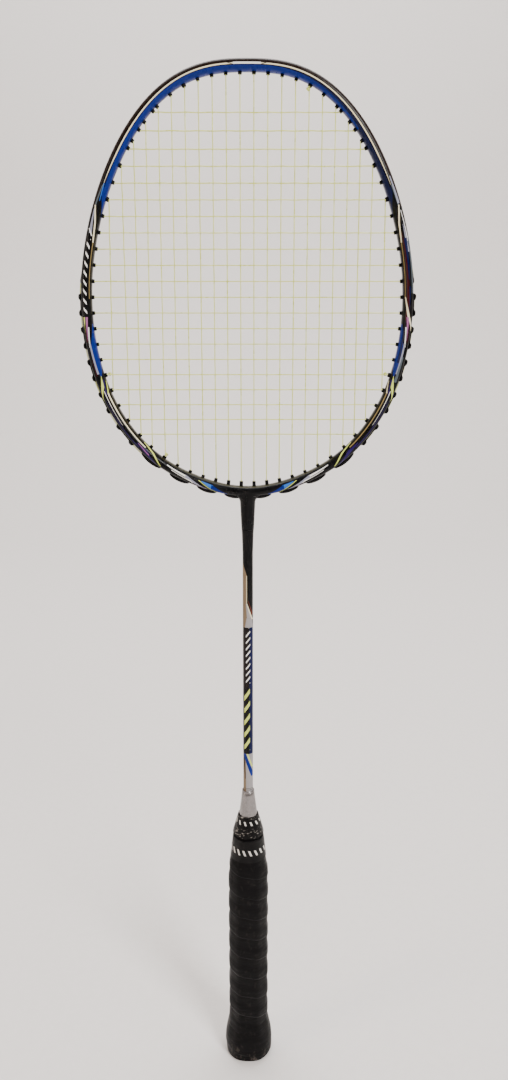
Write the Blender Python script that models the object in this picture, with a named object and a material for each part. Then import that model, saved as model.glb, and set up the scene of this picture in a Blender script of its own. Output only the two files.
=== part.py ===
"""A strung badminton racket, built from the pieces that a maker glues, laces and winds together.

The racket stands on its butt: +Z runs up the shaft to the top of the head, X runs across the head,
Y is square to the strings, and the origin is the middle of the butt's flat end. Units are metres.
"""

import math

import bmesh
import bpy
from mathutils import Vector

# Driving dimensions.
OVERALL_LENGTH = 0.675
HEAD_HALF_WIDTH = 0.0991        # outer edge to the middle, where the two halves of the head meet
HEAD_TOP_HALF = 0.1157          # from there up to the top, and down to the throat
HEAD_THROAT_HALF = 0.1332
HEAD_TAPER = -0.1365            # the head narrows towards its top and widens towards its throat
TOP_SQUARENESS = 2.634          # 2 is an ellipse, and more is squarer
THROAT_SQUARENESS = 2.076
FRAME_WIDTH = 0.0054            # in the plane of the strings
FRAME_HALF_DEPTH = 0.0052
THROAT_SWELL = 0.0016           # the frame is wider than that near the shaft
SWELL_REACH = 0.042             # the swelling's half length along the frame
GROOVE_TOP_DEPTH = 0.0016       # the groove that hides the strings round the top of the head
GROOVE_LOW_DEPTH = 0.0005
GROOVE_FADE = (0.551, 0.569)    # heights between which the groove fades from shallow to deep
HEAD_STATIONS = 64

STRING_RADIUS = 0.00035
MAIN_PITCH = 0.008
MAINS_PER_SIDE = 11
TOP_MAINS = 7                   # mains per side that end in the top arc
UPPER_MAINS = 9                 # mains per side whose top end has a hole of its own
LOW_MAINS = 8                   # mains per side that end in the bottom arc
TOP_PINCH = 0.00045             # the outer mains lean in at the top, where the head narrows
CROSS_TOP = 0.6477
CROSS_PITCH = 0.00915
CROSS_SPREAD = 0.0006           # added to each of the first two gaps, to clear the mains' holes
CROSSES = 21
WEAVE = 0.0008                  # how far a main passes in front of or behind a cross
LANE = 0.0008                   # mains run on one side of the groove and crosses on the other
LANE_START = 0.0022             # how far from its hole a string reaches its lane
SHARED_OFFSET = 0.00045         # two strings lie side by side in a shared grommet
KNOT_RADIUS = 0.0011
KNOT_SIDE = 0.0014              # the knot sits this far to the side of its hole, and this far in
RUN_STEP = 0.0045               # longest straight piece of a string that follows the frame
SETTLE_RUN = 0.004              # length over which a cross comes back to the middle of the frame

BARREL_RADIUS = 0.00125
SHARED_BARREL_RADIUS = 0.0015
BORE_RADIUS = 0.0006
SHARED_BORE_RADIUS = 0.00095
BARREL_REACH = 0.0022           # how far a barrel stands out of the frame's inner face
BAND_HALF_WIDTH = 0.0016
BAND_THICKNESS = 0.0005
BAND_MARGIN = 0.0013            # how far a band runs past its last barrel's middle
GAP = 0.0003                    # left between pieces that are glued or pressed together

NECK_BOTTOM = 0.4025
SHAFT_TOP = 0.4210
SHAFT_BOTTOM = 0.060
SHAFT_RADIUS = 0.0034
SHAFT_BORE = 0.0025
SPIGOT_RADIUS = 0.0015
SPIGOT_BOTTOM = 0.390
T_ARM = 0.016                   # half length of the throat insert's arms along the frame

CONE_TOP = 0.2165
CONE_BOTTOM = 0.1925
TENON_RADIUS = 0.0056
TENON_BOTTOM = 0.1915
TENON_TOP = 0.1995

# Half width of the finished grip at heights from the butt to the cone.
GRIP_PROFILE = (
    (0.0000, 0.0170), (0.0060, 0.0174), (0.0140, 0.0163), (0.0220, 0.0149), (0.0300, 0.0142),
    (0.1500, 0.0141), (0.1580, 0.0136), (0.1680, 0.0118), (0.1800, 0.0106), (0.1865, 0.0094),
    (0.1915, 0.0084),
)
GRIP_DEPTH_RATIO = 0.90         # the grip is a little shallower in Y than it is wide in X
ROUNDING = (0.150, 0.190)       # heights between which the octagon turns round
OVERGRIP_THICKNESS = 0.0006
BASE_GRIP_THICKNESS = 0.0011
BASE_GRIP_INSET = OVERGRIP_THICKNESS + GAP
WOOD_INSET = BASE_GRIP_INSET + BASE_GRIP_THICKNESS + GAP
CAP_PLATE = 0.0030
CAP_SKIRT_TOP = 0.0075
CAP_SKIRT = 0.0008
CAP_RIM_INSET = 0.0009
DISC_RADIUS = 0.0090
DISC_THICKNESS = 0.0012
STAPLE_HEIGHT = 0.020
STAPLE_HALF_SPAN = 0.0030
STAPLE_WIRE = 0.0005
STAPLE_LEG = 0.0060


# Scene and mesh helpers.

def clear_scene():
    for obj in list(bpy.data.objects):
        bpy.data.objects.remove(obj, do_unlink=True)


def finish_material(name, color, roughness, metallic=0.0):
    material = bpy.data.materials.new(name)
    material.use_nodes = True
    shader = material.node_tree.nodes["Principled BSDF"]
    shader.inputs["Base Color"].default_value = (*color, 1.0)
    shader.inputs["Roughness"].default_value = roughness
    shader.inputs["Metallic"].default_value = metallic
    return material


def add_object(name, data, material=None):
    obj = bpy.data.objects.new(name, data)
    bpy.context.collection.objects.link(obj)
    if material:
        data.materials.append(material)
    return obj


def add_mesh(name, shape, material=None):
    """An object from a bmesh, smooth where it is round."""
    bmesh.ops.recalc_face_normals(shape, faces=shape.faces[:])
    mesh = bpy.data.meshes.new(name)
    shape.to_mesh(mesh)
    shape.free()
    mesh.shade_smooth()
    mesh.set_sharp_from_angle(angle=math.radians(35))
    return add_object(name, mesh, material)


def as_tool(obj):
    """A cutter or a part of a union: it shapes another object and isn't a piece itself."""
    obj.hide_render = True
    obj.display_type = "WIRE"
    return obj


def boolean(obj, operation, tool):
    modifier = obj.modifiers.new(f"{operation} {tool.name}", "BOOLEAN")
    modifier.operation = operation
    modifier.solver = "EXACT"
    modifier.object = tool


def bridge_rings(shape, rings, closed=False):
    """Walls between rings of vertices that have the same count."""
    pairs = list(zip(rings, rings[1:]))
    if closed:
        pairs.append((rings[-1], rings[0]))
    for first, second in pairs:
        count = len(first)
        for i in range(count):
            j = (i + 1) % count
            shape.faces.new((first[i], first[j], second[j], second[i]))


def loft(shape, outlines, closed=False):
    """A skin over a list of outlines, with flat ends unless it closes on itself."""
    rings = [[shape.verts.new(point) for point in outline] for outline in outlines]
    bridge_rings(shape, rings, closed)
    if not closed:
        shape.faces.new(rings[0])
        shape.faces.new(rings[-1])
    return rings


def sleeve(shape, outside, inside):
    """A tube with a wall: outlines up the outside, and outlines up the inside."""
    rings = [[shape.verts.new(point) for point in outline] for outline in outside + inside[::-1]]
    bridge_rings(shape, rings, closed=True)


def circle(radius, height, sides):
    angles = [2 * math.pi * i / sides for i in range(sides)]
    return [(radius * math.cos(a), radius * math.sin(a), height) for a in angles]


def add_pin(shape, start, direction, length, radius, sides):
    """A solid round pin along a direction in the plane of the head."""
    side = Vector((0, 1, 0))
    across = direction.cross(side)
    ends = []
    for distance in (0.0, length):
        ring = []
        for i in range(sides):
            angle = 2 * math.pi * i / sides
            offset = side * math.cos(angle) + across * math.sin(angle)
            ring.append(start + direction * distance + offset * radius)
        ends.append(ring)
    loft(shape, ends)


# The head's outline: a squared ellipse whose halves have their own squareness, with a slight taper.

def outline_point(turn):
    """The outer edge at an angle from +X towards +Z."""
    cosine, sine = math.cos(turn), math.sin(turn)
    squareness = TOP_SQUARENESS if sine > 0 else THROAT_SQUARENESS
    half_length = HEAD_TOP_HALF if sine > 0 else HEAD_THROAT_HALF
    reach = math.copysign(abs(cosine) ** (2 / squareness), cosine)
    width = HEAD_HALF_WIDTH * (1 + HEAD_TAPER * sine)
    return Vector((width * reach, 0, OVERALL_LENGTH - HEAD_TOP_HALF + half_length * sine))


def outward(turn):
    """The direction square to the outer edge, away from the strings."""
    step = 0.004
    along = outline_point(turn + step) - outline_point(turn - step)
    return Vector((along.z, 0, -along.x)).normalized()


def outline_speed(turn):
    """Length of outline for each radian of turn."""
    step = 0.004
    return (outline_point(turn + step) - outline_point(turn - step)).length / (2 * step)


def frame_point(turn, out, depth=0.0):
    """A point at a distance outside the outline, and at a depth in Y."""
    return outline_point(turn) + outward(turn) * out + Vector((0, depth, 0))


def swell(turn):
    """How much further out the outer edge lies near the throat."""
    point = outline_point(turn)
    if point.z > OVERALL_LENGTH - HEAD_TOP_HALF or abs(point.x) > SWELL_REACH:
        return 0.0
    return THROAT_SWELL * (0.5 + 0.5 * math.cos(math.pi * point.x / SWELL_REACH))


def even_turns(start, end, count):
    """Angles that cut a stretch of the outline into equal lengths, both ends included."""
    samples = 720
    turns = [start + (end - start) * i / samples for i in range(samples + 1)]
    lengths = [0.0]
    for first, second in zip(turns, turns[1:]):
        lengths.append(lengths[-1] + (outline_point(second) - outline_point(first)).length)
    result = []
    index = 0
    for i in range(count):
        wanted = lengths[-1] * i / (count - 1)
        while index < samples - 1 and lengths[index + 1] < wanted:
            index += 1
        share = (wanted - lengths[index]) / (lengths[index + 1] - lengths[index])
        result.append(turns[index] + share * (turns[index + 1] - turns[index]))
    return result


def groove_depth(turn):
    low, high = GROOVE_FADE
    share = min(max((outline_point(turn).z - low) / (high - low), 0.0), 1.0)
    return GROOVE_LOW_DEPTH + (GROOVE_TOP_DEPTH - GROOVE_LOW_DEPTH) * share


# The lacing plan: one hole for each string end, and a few holes that two strings share.

def solve(function, low, high):
    """The angle between low and high where a rising function is zero."""
    for _ in range(50):
        middle = (low + high) / 2
        if function(middle) < 0:
            low = middle
        else:
            high = middle
    return (low + high) / 2


def tip(turn):
    """Where a string leaves its barrel, inside the head."""
    return frame_point(turn, -(FRAME_WIDTH + BARREL_REACH))


def turn_at_width(width, upper):
    """The hole on the right-hand side whose string is at this distance from the middle."""
    if upper:
        return solve(lambda t: width - tip(t).x, 0.35, math.pi / 2)
    return solve(lambda t: tip(t).x - width, -math.pi / 2, -0.35)


def turn_at_height(height):
    """The hole on the right-hand side whose string is at this height."""
    return solve(lambda t: tip(t).z - height, -1.2, 1.2)


def cross_height(number):
    return CROSS_TOP - CROSS_PITCH * (number - 1) - CROSS_SPREAD * min(number - 1, 2)


def top_width(main):
    steps = main - 0.5
    return MAIN_PITCH * steps * (1 - TOP_PINCH * steps * steps)


def mirrored(turn):
    return math.pi - turn


def plan_holes():
    """The right-hand holes, from the middle of the top round to the middle of the throat."""
    holes = {}
    for main in range(1, UPPER_MAINS + 1):
        holes[f"top_{main}"] = turn_at_width(top_width(main), True)
    for cross in range(1, CROSSES + 1):
        holes[f"cross_{cross}"] = turn_at_height(cross_height(cross))
    for main in range(1, LOW_MAINS + 1):
        holes[f"low_{main}"] = turn_at_width((main - 0.5) * MAIN_PITCH, False)
    return dict(sorted(holes.items(), key=lambda item: -item[1]))


HOLES = plan_holes()
# Mains that share a side hole with a cross, at their top and bottom ends.
SHARED_TOPS = {10: "cross_4", 11: "cross_6"}
SHARED_LOWS = {9: "cross_21", 10: "cross_20", 11: "cross_18"}
# Holes that hold a string's tied-off tail beside the string that is laced there.
TAIL_HOLES = {"main": "cross_17", "cross_start": "top_5", "cross_end": "low_7"}
SHARED_HOLES = {*SHARED_TOPS.values(), *SHARED_LOWS.values(), *TAIL_HOLES.values()}


def hole_turn(name, side):
    """side is 1 on the right and -1 on the left."""
    return HOLES[name] if side > 0 else mirrored(HOLES[name])


def string_out(turn):
    """How far outside the outer edge a string's middle lies as it runs round the frame."""
    return band_floor(turn) + BAND_THICKNESS + 0.0001 + STRING_RADIUS


def band_floor(turn):
    """Where the grommets' band sits in the groove."""
    return swell(turn) - groove_depth(turn) + GAP


# The frame and the pieces that are glued into it.

def frame_section(turn):
    """The frame's outline across the tube, from the groove round the front face and back."""
    edge = swell(turn)
    half = [
        (edge - groove_depth(turn), 0.0019), (edge, 0.0022), (edge - 0.0012, 0.0047),
        (-0.0031, FRAME_HALF_DEPTH), (-0.0047, 0.0038), (-FRAME_WIDTH, 0.0018),
    ]
    section = half + [(out, -depth) for out, depth in reversed(half)]
    return [frame_point(turn, out, depth) for out, depth in section]


def cavity_section(turn, shrink=0.0):
    """The hollow inside the frame, or a piece that fits it when it is shrunk."""
    half = [(-0.0026 - shrink, 0.0036 - shrink), (-0.0045 + shrink, 0.0026 - shrink)]
    section = half + [(out, -depth) for out, depth in reversed(half)]
    return [frame_point(turn, out, depth) for out, depth in section]


def ring_of(section):
    turns = even_turns(math.pi / 2, math.pi / 2 - 2 * math.pi, HEAD_STATIONS + 1)[:-1]
    return [section(turn) for turn in turns]


def make_drills():
    """One pin through the frame for each grommet, wide enough for the barrel."""
    shape = bmesh.new()
    for name in HOLES:
        for side in (1, -1):
            turn = hole_turn(name, side)
            radius = SHARED_BARREL_RADIUS if name in SHARED_HOLES else BARREL_RADIUS
            start = frame_point(turn, swell(turn) + 0.001)
            length = swell(turn) + FRAME_WIDTH + 0.002
            add_pin(shape, start, -outward(turn), length, radius + GAP, 6)
    return as_tool(add_mesh("drill_form", shape))


def turned(profile, sides):
    """Outlines of a turned piece, from (radius, height) pairs."""
    return [circle(radius, height, sides) for radius, height in profile]


def make_neck_form():
    """The flared neck at the throat, which joins the head to the shaft."""
    shape = bmesh.new()
    # Half width in X, half depth in Y, and height.
    profile = (
        (0.00405, 0.00405, NECK_BOTTOM), (0.0045, 0.0044, 0.4120), (0.00495, 0.0048, 0.4208),
        (0.0056, 0.0049, 0.4222), (0.0070, 0.0049, 0.4236), (0.0095, 0.0049, 0.4250),
        (0.0120, 0.0049, 0.4282),
    )
    outlines = []
    for width, depth, height in profile:
        outlines.append([(x * width, y * depth, height) for x, y, _ in circle(1.0, 0.0, 20)])
    loft(shape, outlines)
    return as_tool(add_mesh("neck_form", shape))


def make_socket_form():
    """The hole up the neck: wide for the shaft, then narrow for the insert's spigot."""
    shape = bmesh.new()
    wide, narrow = SHAFT_RADIUS + GAP, SPIGOT_RADIUS + GAP
    profile = (
        (wide, NECK_BOTTOM - 0.002), (wide, SHAFT_TOP + GAP), (narrow, SHAFT_TOP + GAP),
        (narrow, 0.4290),
    )
    loft(shape, turned(profile, 16))
    return as_tool(add_mesh("socket_form", shape))


def make_notch_form():
    """Slots beside the neck, where the innermost mains turn back outside the frame."""
    shape = bmesh.new()
    for side in (1, -1):
        near, far = sorted((side * 0.0023, side * 0.0140))
        add_box(shape, (near, -0.0019, 0.4225), (far, 0.0019, 0.4258))
    return as_tool(add_mesh("notch_form", shape))


def make_head_frame(drills, material):
    shape = bmesh.new()
    loft(shape, ring_of(frame_section), closed=True)
    head = add_mesh("head_frame", shape, material)
    shape = bmesh.new()
    loft(shape, ring_of(cavity_section), closed=True)
    cavity = as_tool(add_mesh("cavity_form", shape))
    boolean(head, "UNION", make_neck_form())
    boolean(head, "DIFFERENCE", cavity)
    boolean(head, "DIFFERENCE", make_socket_form())
    boolean(head, "DIFFERENCE", make_notch_form())
    boolean(head, "DIFFERENCE", drills)


def make_t_joint(drills, material):
    """The moulded insert in the throat: two drilled arms in the frame, and a spigot in the shaft."""
    bottom = -math.pi / 2
    reach = T_ARM / HEAD_HALF_WIDTH
    shape = bmesh.new()
    turns = even_turns(bottom - reach, bottom + reach, 13)
    loft(shape, [cavity_section(turn, GAP) for turn in turns])
    insert = add_mesh("t_joint", shape, material)
    shape = bmesh.new()
    top = frame_point(bottom, -0.0036).z
    loft(shape, turned(((SPIGOT_RADIUS, SPIGOT_BOTTOM), (SPIGOT_RADIUS, top)), 12))
    boolean(insert, "UNION", as_tool(add_mesh("spigot_form", shape)))
    boolean(insert, "DIFFERENCE", drills)


def make_shaft(material):
    """A tube, with a shoulder that carries on the taper of the neck above it."""
    outside = turned(
        (
            (SHAFT_RADIUS, SHAFT_BOTTOM), (SHAFT_RADIUS, 0.388), (0.0039, NECK_BOTTOM - GAP),
            (SHAFT_RADIUS, NECK_BOTTOM - GAP), (SHAFT_RADIUS, SHAFT_TOP),
        ),
        20,
    )
    inside = turned(((SHAFT_BORE, SHAFT_BOTTOM), (SHAFT_BORE, SHAFT_TOP)), 20)
    shape = bmesh.new()
    sleeve(shape, outside, inside)
    add_mesh("shaft", shape, material)


def make_cone(material):
    """The collar between shaft and handle, a cup over the wood's round tenon."""
    outside = turned(
        (
            (0.0069, CONE_BOTTOM), (0.0069, 0.1945), (0.0063, 0.1985), (0.0043, 0.2155),
            (0.0041, CONE_TOP),
        ),
        24,
    )
    bore, cup = SHAFT_RADIUS + GAP, TENON_RADIUS + GAP
    seat = TENON_TOP + GAP
    inside = turned(((cup, CONE_BOTTOM), (cup, seat), (bore, seat + 0.0009), (bore, CONE_TOP)), 24)
    shape = bmesh.new()
    sleeve(shape, outside, inside)
    add_mesh("cone", shape, material)


# The handle: one profile for the finished grip, and each layer under it set in by its depth.

def profile_width(height):
    for (low, first), (high, second) in zip(GRIP_PROFILE, GRIP_PROFILE[1:]):
        if height <= high:
            return first + (second - first) * (height - low) / (high - low)
    return GRIP_PROFILE[-1][1]


def grip_outline(height, inset):
    """Sixteen points round the handle: an octagon low down, which turns round under the cone."""
    width = profile_width(height) - inset
    share = min(max((height - ROUNDING[0]) / (ROUNDING[1] - ROUNDING[0]), 0.0), 1.0)
    full = profile_width(height)
    ratio = GRIP_DEPTH_RATIO + (1 - GRIP_DEPTH_RATIO) * share
    depth = width - full * (1 - ratio)
    chamfer = 0.56 * depth
    corner = [
        (width, 0.0), (width, depth - chamfer), (width - chamfer / 2, depth - chamfer / 2),
        (width - chamfer, depth),
    ]
    points = []
    for quarter in range(4):
        for i in range(4):
            x, y = corner[i] if quarter % 2 == 0 else corner[(4 - i) % 4]
            if quarter % 2 == 1 and i == 0:
                x, y = 0.0, depth
            angle = math.pi / 8 * (4 * quarter + i)
            round_x, round_y = width * math.cos(angle), width * math.sin(angle)
            sign_x = -1 if quarter in (1, 2) else 1
            sign_y = -1 if quarter in (2, 3) else 1
            flat_x, flat_y = sign_x * x, sign_y * y
            points.append((
                flat_x + (round_x - flat_x) * share,
                flat_y + (round_y - flat_y) * share,
                height,
            ))
    return points


def heights_between(low, high):
    """The profile's own heights within a stretch, with the stretch's ends."""
    inner = [height for height, _ in GRIP_PROFILE if low < height < high]
    return [low, *inner, high]


def make_layer(name, low, high, inset, thickness, material):
    """A sleeve of grip or tape that follows the handle's profile."""
    heights = heights_between(low, high)
    outside = [grip_outline(height, inset) for height in heights]
    inside = [grip_outline(height, inset + thickness) for height in heights]
    shape = bmesh.new()
    sleeve(shape, outside, inside)
    return add_mesh(name, shape, material)


def make_handle_core(material):
    """The wooden handle: an octagon with a flared butt, a round tenon and a bore for the shaft."""
    bottom = CAP_PLATE + GAP
    outside = [grip_outline(height, WOOD_INSET) for height in heights_between(bottom, TENON_BOTTOM)]
    outside += turned(((TENON_RADIUS, TENON_BOTTOM), (TENON_RADIUS, TENON_TOP)), 16)
    shape = bmesh.new()
    loft(shape, outside)
    core = add_mesh("handle_core", shape, material)
    shape = bmesh.new()
    bore = SHAFT_RADIUS + GAP
    loft(shape, turned(((bore, SHAFT_BOTTOM - GAP), (bore, TENON_TOP + 0.001)), 20))
    boolean(core, "DIFFERENCE", as_tool(add_mesh("bore_form", shape)))
    return core


def make_butt_cap(material):
    """The cap: a plate with a recess for its disc, and a skirt round the wood."""
    rim = CAP_RIM_INSET
    skirt_in = WOOD_INSET - GAP
    recess = DISC_RADIUS + GAP
    shape = bmesh.new()
    top = CAP_SKIRT_TOP
    outlines = [
        circle(recess, DISC_THICKNESS + GAP, 16),
        circle(recess, 0.0, 16),
        grip_outline(0.0, rim + 0.0004),
        grip_outline(0.0006, rim),
        grip_outline(CAP_PLATE, rim),
        grip_outline(CAP_PLATE, skirt_in - CAP_SKIRT),
        grip_outline(top, skirt_in - CAP_SKIRT),
        grip_outline(top, skirt_in),
        grip_outline(CAP_PLATE, skirt_in),
    ]
    loft(shape, outlines)
    add_mesh("butt_cap", shape, material)


def make_cap_disc(material):
    shape = bmesh.new()
    loft(shape, turned(((DISC_RADIUS, 0.0), (DISC_RADIUS, DISC_THICKNESS)), 32))
    add_mesh("cap_disc", shape, material)


def add_box(shape, low, high):
    corners = [(low[0], low[1]), (high[0], low[1]), (high[0], high[1]), (low[0], high[1])]
    loft(shape, [[(x, y, z) for x, y in corners] for z in (low[2], high[2])])


def staple_shape(grow):
    """The wire staple that pins the start of the base grip to the wood, or its slot when grown."""
    back = (profile_width(STAPLE_HEIGHT) - BASE_GRIP_INSET) * GRIP_DEPTH_RATIO
    crown_front, crown_back = back - 2 * STAPLE_WIRE - grow, back - STAPLE_WIRE / 2 + 3 * grow
    low_z, high_z = STAPLE_HEIGHT - STAPLE_WIRE - grow, STAPLE_HEIGHT + STAPLE_WIRE + grow
    half = STAPLE_HALF_SPAN + grow
    shape = bmesh.new()
    points = [
        (-half, crown_back), (half, crown_back), (half, back - STAPLE_LEG - grow),
        (half - 2 * STAPLE_WIRE - 2 * grow, back - STAPLE_LEG - grow),
        (half - 2 * STAPLE_WIRE - 2 * grow, crown_front),
        (-half + 2 * STAPLE_WIRE + 2 * grow, crown_front),
        (-half + 2 * STAPLE_WIRE + 2 * grow, back - STAPLE_LEG - grow),
        (-half, back - STAPLE_LEG - grow),
    ]
    loft(shape, [[(x, y, z) for x, y in points] for z in (low_z, high_z)])
    return shape


def make_handle(wood, metal, grip, wrap, tape, plastic, plate):
    core = make_handle_core(wood)
    make_butt_cap(plastic)
    make_cap_disc(plate)
    base = make_layer(
        "base_grip", CAP_SKIRT_TOP + 0.0005, 0.1915, BASE_GRIP_INSET, BASE_GRIP_THICKNESS, grip
    )
    make_layer("overgrip", 0.0010, 0.1865, 0.0, OVERGRIP_THICKNESS, wrap)
    add_mesh("grip_staple", staple_shape(0.0), metal)
    slot = as_tool(add_mesh("staple_slot_form", staple_shape(GAP)))
    boolean(core, "DIFFERENCE", slot)
    boolean(base, "DIFFERENCE", slot)
    make_layer("finish_tape_lower", 0.1660, 0.1820, -2 * GAP, GAP, tape)
    make_upper_tape(tape)


def make_upper_tape(material):
    """A turned strip that covers the joint between the base grip and the cone."""
    low, high = (0.0090, 0.1875), (0.0067, 0.1980)
    outside = turned(((low[0] + GAP, low[1]), (high[0] + GAP, high[1])), 16)
    inside = turned((low, high), 16)
    shape = bmesh.new()
    sleeve(shape, outside, inside)
    add_mesh("finish_tape_upper", shape, material)


# The grommets: a long strip where the groove is deep, and double grommets below it.

def grommet_plan():
    """Group name to the holes that the group serves, as (hole name, side)."""
    names = list(HOLES)
    top = names[:TOP_MAINS]
    low_start = names.index("cross_12")
    upper_side = names[TOP_MAINS:low_start]
    over_the_top = [(name, -1) for name in reversed(top)] + [(name, 1) for name in top]
    plan = {"grommet_strip_top": over_the_top}
    for side, word in ((-1, "left"), (1, "right")):
        plan[f"grommet_strip_{word}"] = [(name, side) for name in upper_side]
        low = names[low_start:]
        for number, start in enumerate(range(0, len(low), 2), 1):
            plan[f"double_grommet_{word}_{number}"] = [(name, side) for name in low[start:start + 2]]
    return plan


def band_outline(turn):
    low = band_floor(turn)
    high = low + BAND_THICKNESS
    half = BAND_HALF_WIDTH
    corners = ((low, -half), (high, -half), (high, half), (low, half))
    return [frame_point(turn, out, depth) for out, depth in corners]


def make_bores():
    """The string holes down every barrel, as one set of pins."""
    shape = bmesh.new()
    for name in HOLES:
        for side in (1, -1):
            turn = hole_turn(name, side)
            radius = SHARED_BORE_RADIUS if name in SHARED_HOLES else BORE_RADIUS
            length = swell(turn) + FRAME_WIDTH + BARREL_REACH + 0.004
            add_pin(shape, frame_point(turn, swell(turn) + 0.002), -outward(turn), length, radius, 6)
    return as_tool(add_mesh("bore_pins_form", shape))


def make_grommets(name, holes, bores, material):
    """A curved band with a barrel at each hole, drilled for the strings."""
    turns = [hole_turn(hole, side) for hole, side in holes]
    way = math.copysign(BAND_MARGIN, turns[-1] - turns[0])
    first = turns[0] - way / outline_speed(turns[0])
    last = turns[-1] + way / outline_speed(turns[-1])
    length = (outline_point(last) - outline_point(first)).length
    count = max(4, round(length / 0.005))
    shape = bmesh.new()
    loft(shape, [band_outline(turn) for turn in even_turns(first, last, count)])
    band = add_mesh(name, shape, material)
    shape = bmesh.new()
    for (hole, _), turn in zip(holes, turns):
        radius = SHARED_BARREL_RADIUS if hole in SHARED_HOLES else BARREL_RADIUS
        top = band_floor(turn) + BAND_THICKNESS / 2
        length = FRAME_WIDTH + BARREL_REACH + top
        add_pin(shape, frame_point(turn, top), -outward(turn), length, radius, 6)
    boolean(band, "UNION", as_tool(add_mesh(f"{name}_barrels_form", shape)))
    boolean(band, "DIFFERENCE", bores)


# The strings: each is one length, laced to and fro through the grommets.

def main_side(column):
    """Columns run from the left-hand side; the number counts out from the middle."""
    if column < MAINS_PER_SIDE:
        return -1, MAINS_PER_SIDE - column
    return 1, column - MAINS_PER_SIDE + 1


def main_hole(number, upper):
    """The hole of a main's end, and how far the string sits off the hole's middle."""
    shared = SHARED_TOPS if upper else SHARED_LOWS
    if number in shared:
        return shared[number], SHARED_OFFSET
    if not upper and number == LOW_MAINS - 1:
        return f"low_{number}", SHARED_OFFSET
    if upper and number == 5:
        return "top_5", SHARED_OFFSET
    return (f"top_{number}" if upper else f"low_{number}"), 0.0


def through_hole(name, side, depth):
    """The string's points from inside the head to the outside of the frame."""
    turn = hole_turn(name, side)
    inner = tip(turn) + Vector((0, depth, 0))
    return [inner, frame_point(turn, string_out(turn), depth)]


def around_frame(first, second, lane):
    """The string's run outside the frame between two holes, past any hole between them."""
    way = math.copysign(LANE_START, second - first)
    start = first + way / outline_speed(first)
    end = second - way / outline_speed(second)
    length = (outline_point(end) - outline_point(start)).length
    turns = even_turns(start, end, max(1, math.ceil(length / RUN_STEP)) + 1)
    return [frame_point(turn, string_out(turn), lane) for turn in turns]


def main_run(column):
    """One main from its top hole to its bottom hole, over and under the crosses."""
    side, number = main_side(column)
    top_name, top_depth = main_hole(number, True)
    low_name, low_depth = main_hole(number, False)
    top = tip(hole_turn(top_name, side)) + Vector((0, top_depth, 0))
    low = tip(hole_turn(low_name, side)) + Vector((0, low_depth, 0))
    points = [top]
    for cross in range(1, CROSSES + 1):
        height = cross_height(cross)
        if not low.z + 0.002 < height < top.z - 0.002:
            continue
        share = (top.z - height) / (top.z - low.z)
        place = top.lerp(low, share)
        place.y = WEAVE if (column + cross) % 2 else -WEAVE
        points.append(place)
    return points + [low]


def tail(from_turn, to_name, side, lane, depth):
    """A string's end: along the frame to the tail hole, back inside, and into its knot."""
    to_turn = hole_turn(to_name, side)
    out = frame_point(to_turn, string_out(to_turn), depth)
    points = around_frame(*near_turns(from_turn, to_turn), lane)
    inward = -outward(to_turn)
    inner = tip(to_turn) + Vector((0, depth, 0))
    knot = tip(to_turn) + inward * KNOT_SIDE + Vector((0, math.copysign(KNOT_SIDE, depth), 0))
    knots = [knot + inward * KNOT_RADIUS * share for share in (0.0, 0.9, 1.8)]
    return points + [out, inner + inward * GAP], knots


def tube(name, points, knot_starts, knot_ends, material):
    """A string as a curve with a round bevel, and a swelling at each end for its knot."""
    curve = bpy.data.curves.new(name, "CURVE")
    curve.dimensions = "3D"
    curve.bevel_depth = STRING_RADIUS
    curve.bevel_resolution = 0
    curve.use_fill_caps = True
    spline = curve.splines.new("POLY")
    knot_scale = KNOT_RADIUS / STRING_RADIUS
    scales = (1.4, knot_scale, 0.6 * knot_scale)
    path = list(zip(knot_starts, scales))[::-1]
    path += [(place, 1.0) for place in points]
    path += list(zip(knot_ends, scales))
    spline.points.add(len(path) - 1)
    for point, (place, scale) in zip(spline.points, path):
        point.co = (*place, 1.0)
        point.radius = scale
    add_object(name, curve, material)


def make_main_string(material):
    """All the mains, laced from the left-hand side to the right-hand side."""
    points = []
    columns = 2 * MAINS_PER_SIDE
    for column in range(columns):
        side, number = main_side(column)
        run = main_run(column)
        downward = column % 2 == 1
        top_name, top_depth = main_hole(number, True)
        low_name, low_depth = main_hole(number, False)
        top_out = through_hole(top_name, side, top_depth)[1]
        low_out = through_hole(low_name, side, low_depth)[1]
        whole = [top_out, *run, low_out]
        points += whole if downward else whole[::-1]
        if column == columns - 1:
            break
        next_side, next_number = main_side(column + 1)
        name = low_name if downward else top_name
        next_name = main_hole(next_number, not downward)[0]
        first, second = hole_turn(name, side), hole_turn(next_name, next_side)
        points += around_frame(*near_turns(first, second), LANE)
    first = SHARED_LOWS[MAINS_PER_SIDE]
    left, left_knot = tail(hole_turn(first, -1), TAIL_HOLES["main"], -1, LANE, SHARED_OFFSET)
    right, right_knot = tail(hole_turn(first, 1), TAIL_HOLES["main"], 1, LANE, SHARED_OFFSET)
    tube("main_string", left[::-1] + points + right, left_knot, right_knot, material)


def near_turns(first, second):
    """The same two angles, with the second moved by a whole turn if that is the short way."""
    if second - first > math.pi:
        second -= 2 * math.pi
    elif first - second > math.pi:
        second += 2 * math.pi
    return first, second


def cross_depth(number):
    name = f"cross_{number}"
    return -SHARED_OFFSET if name in SHARED_HOLES else 0.0


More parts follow.
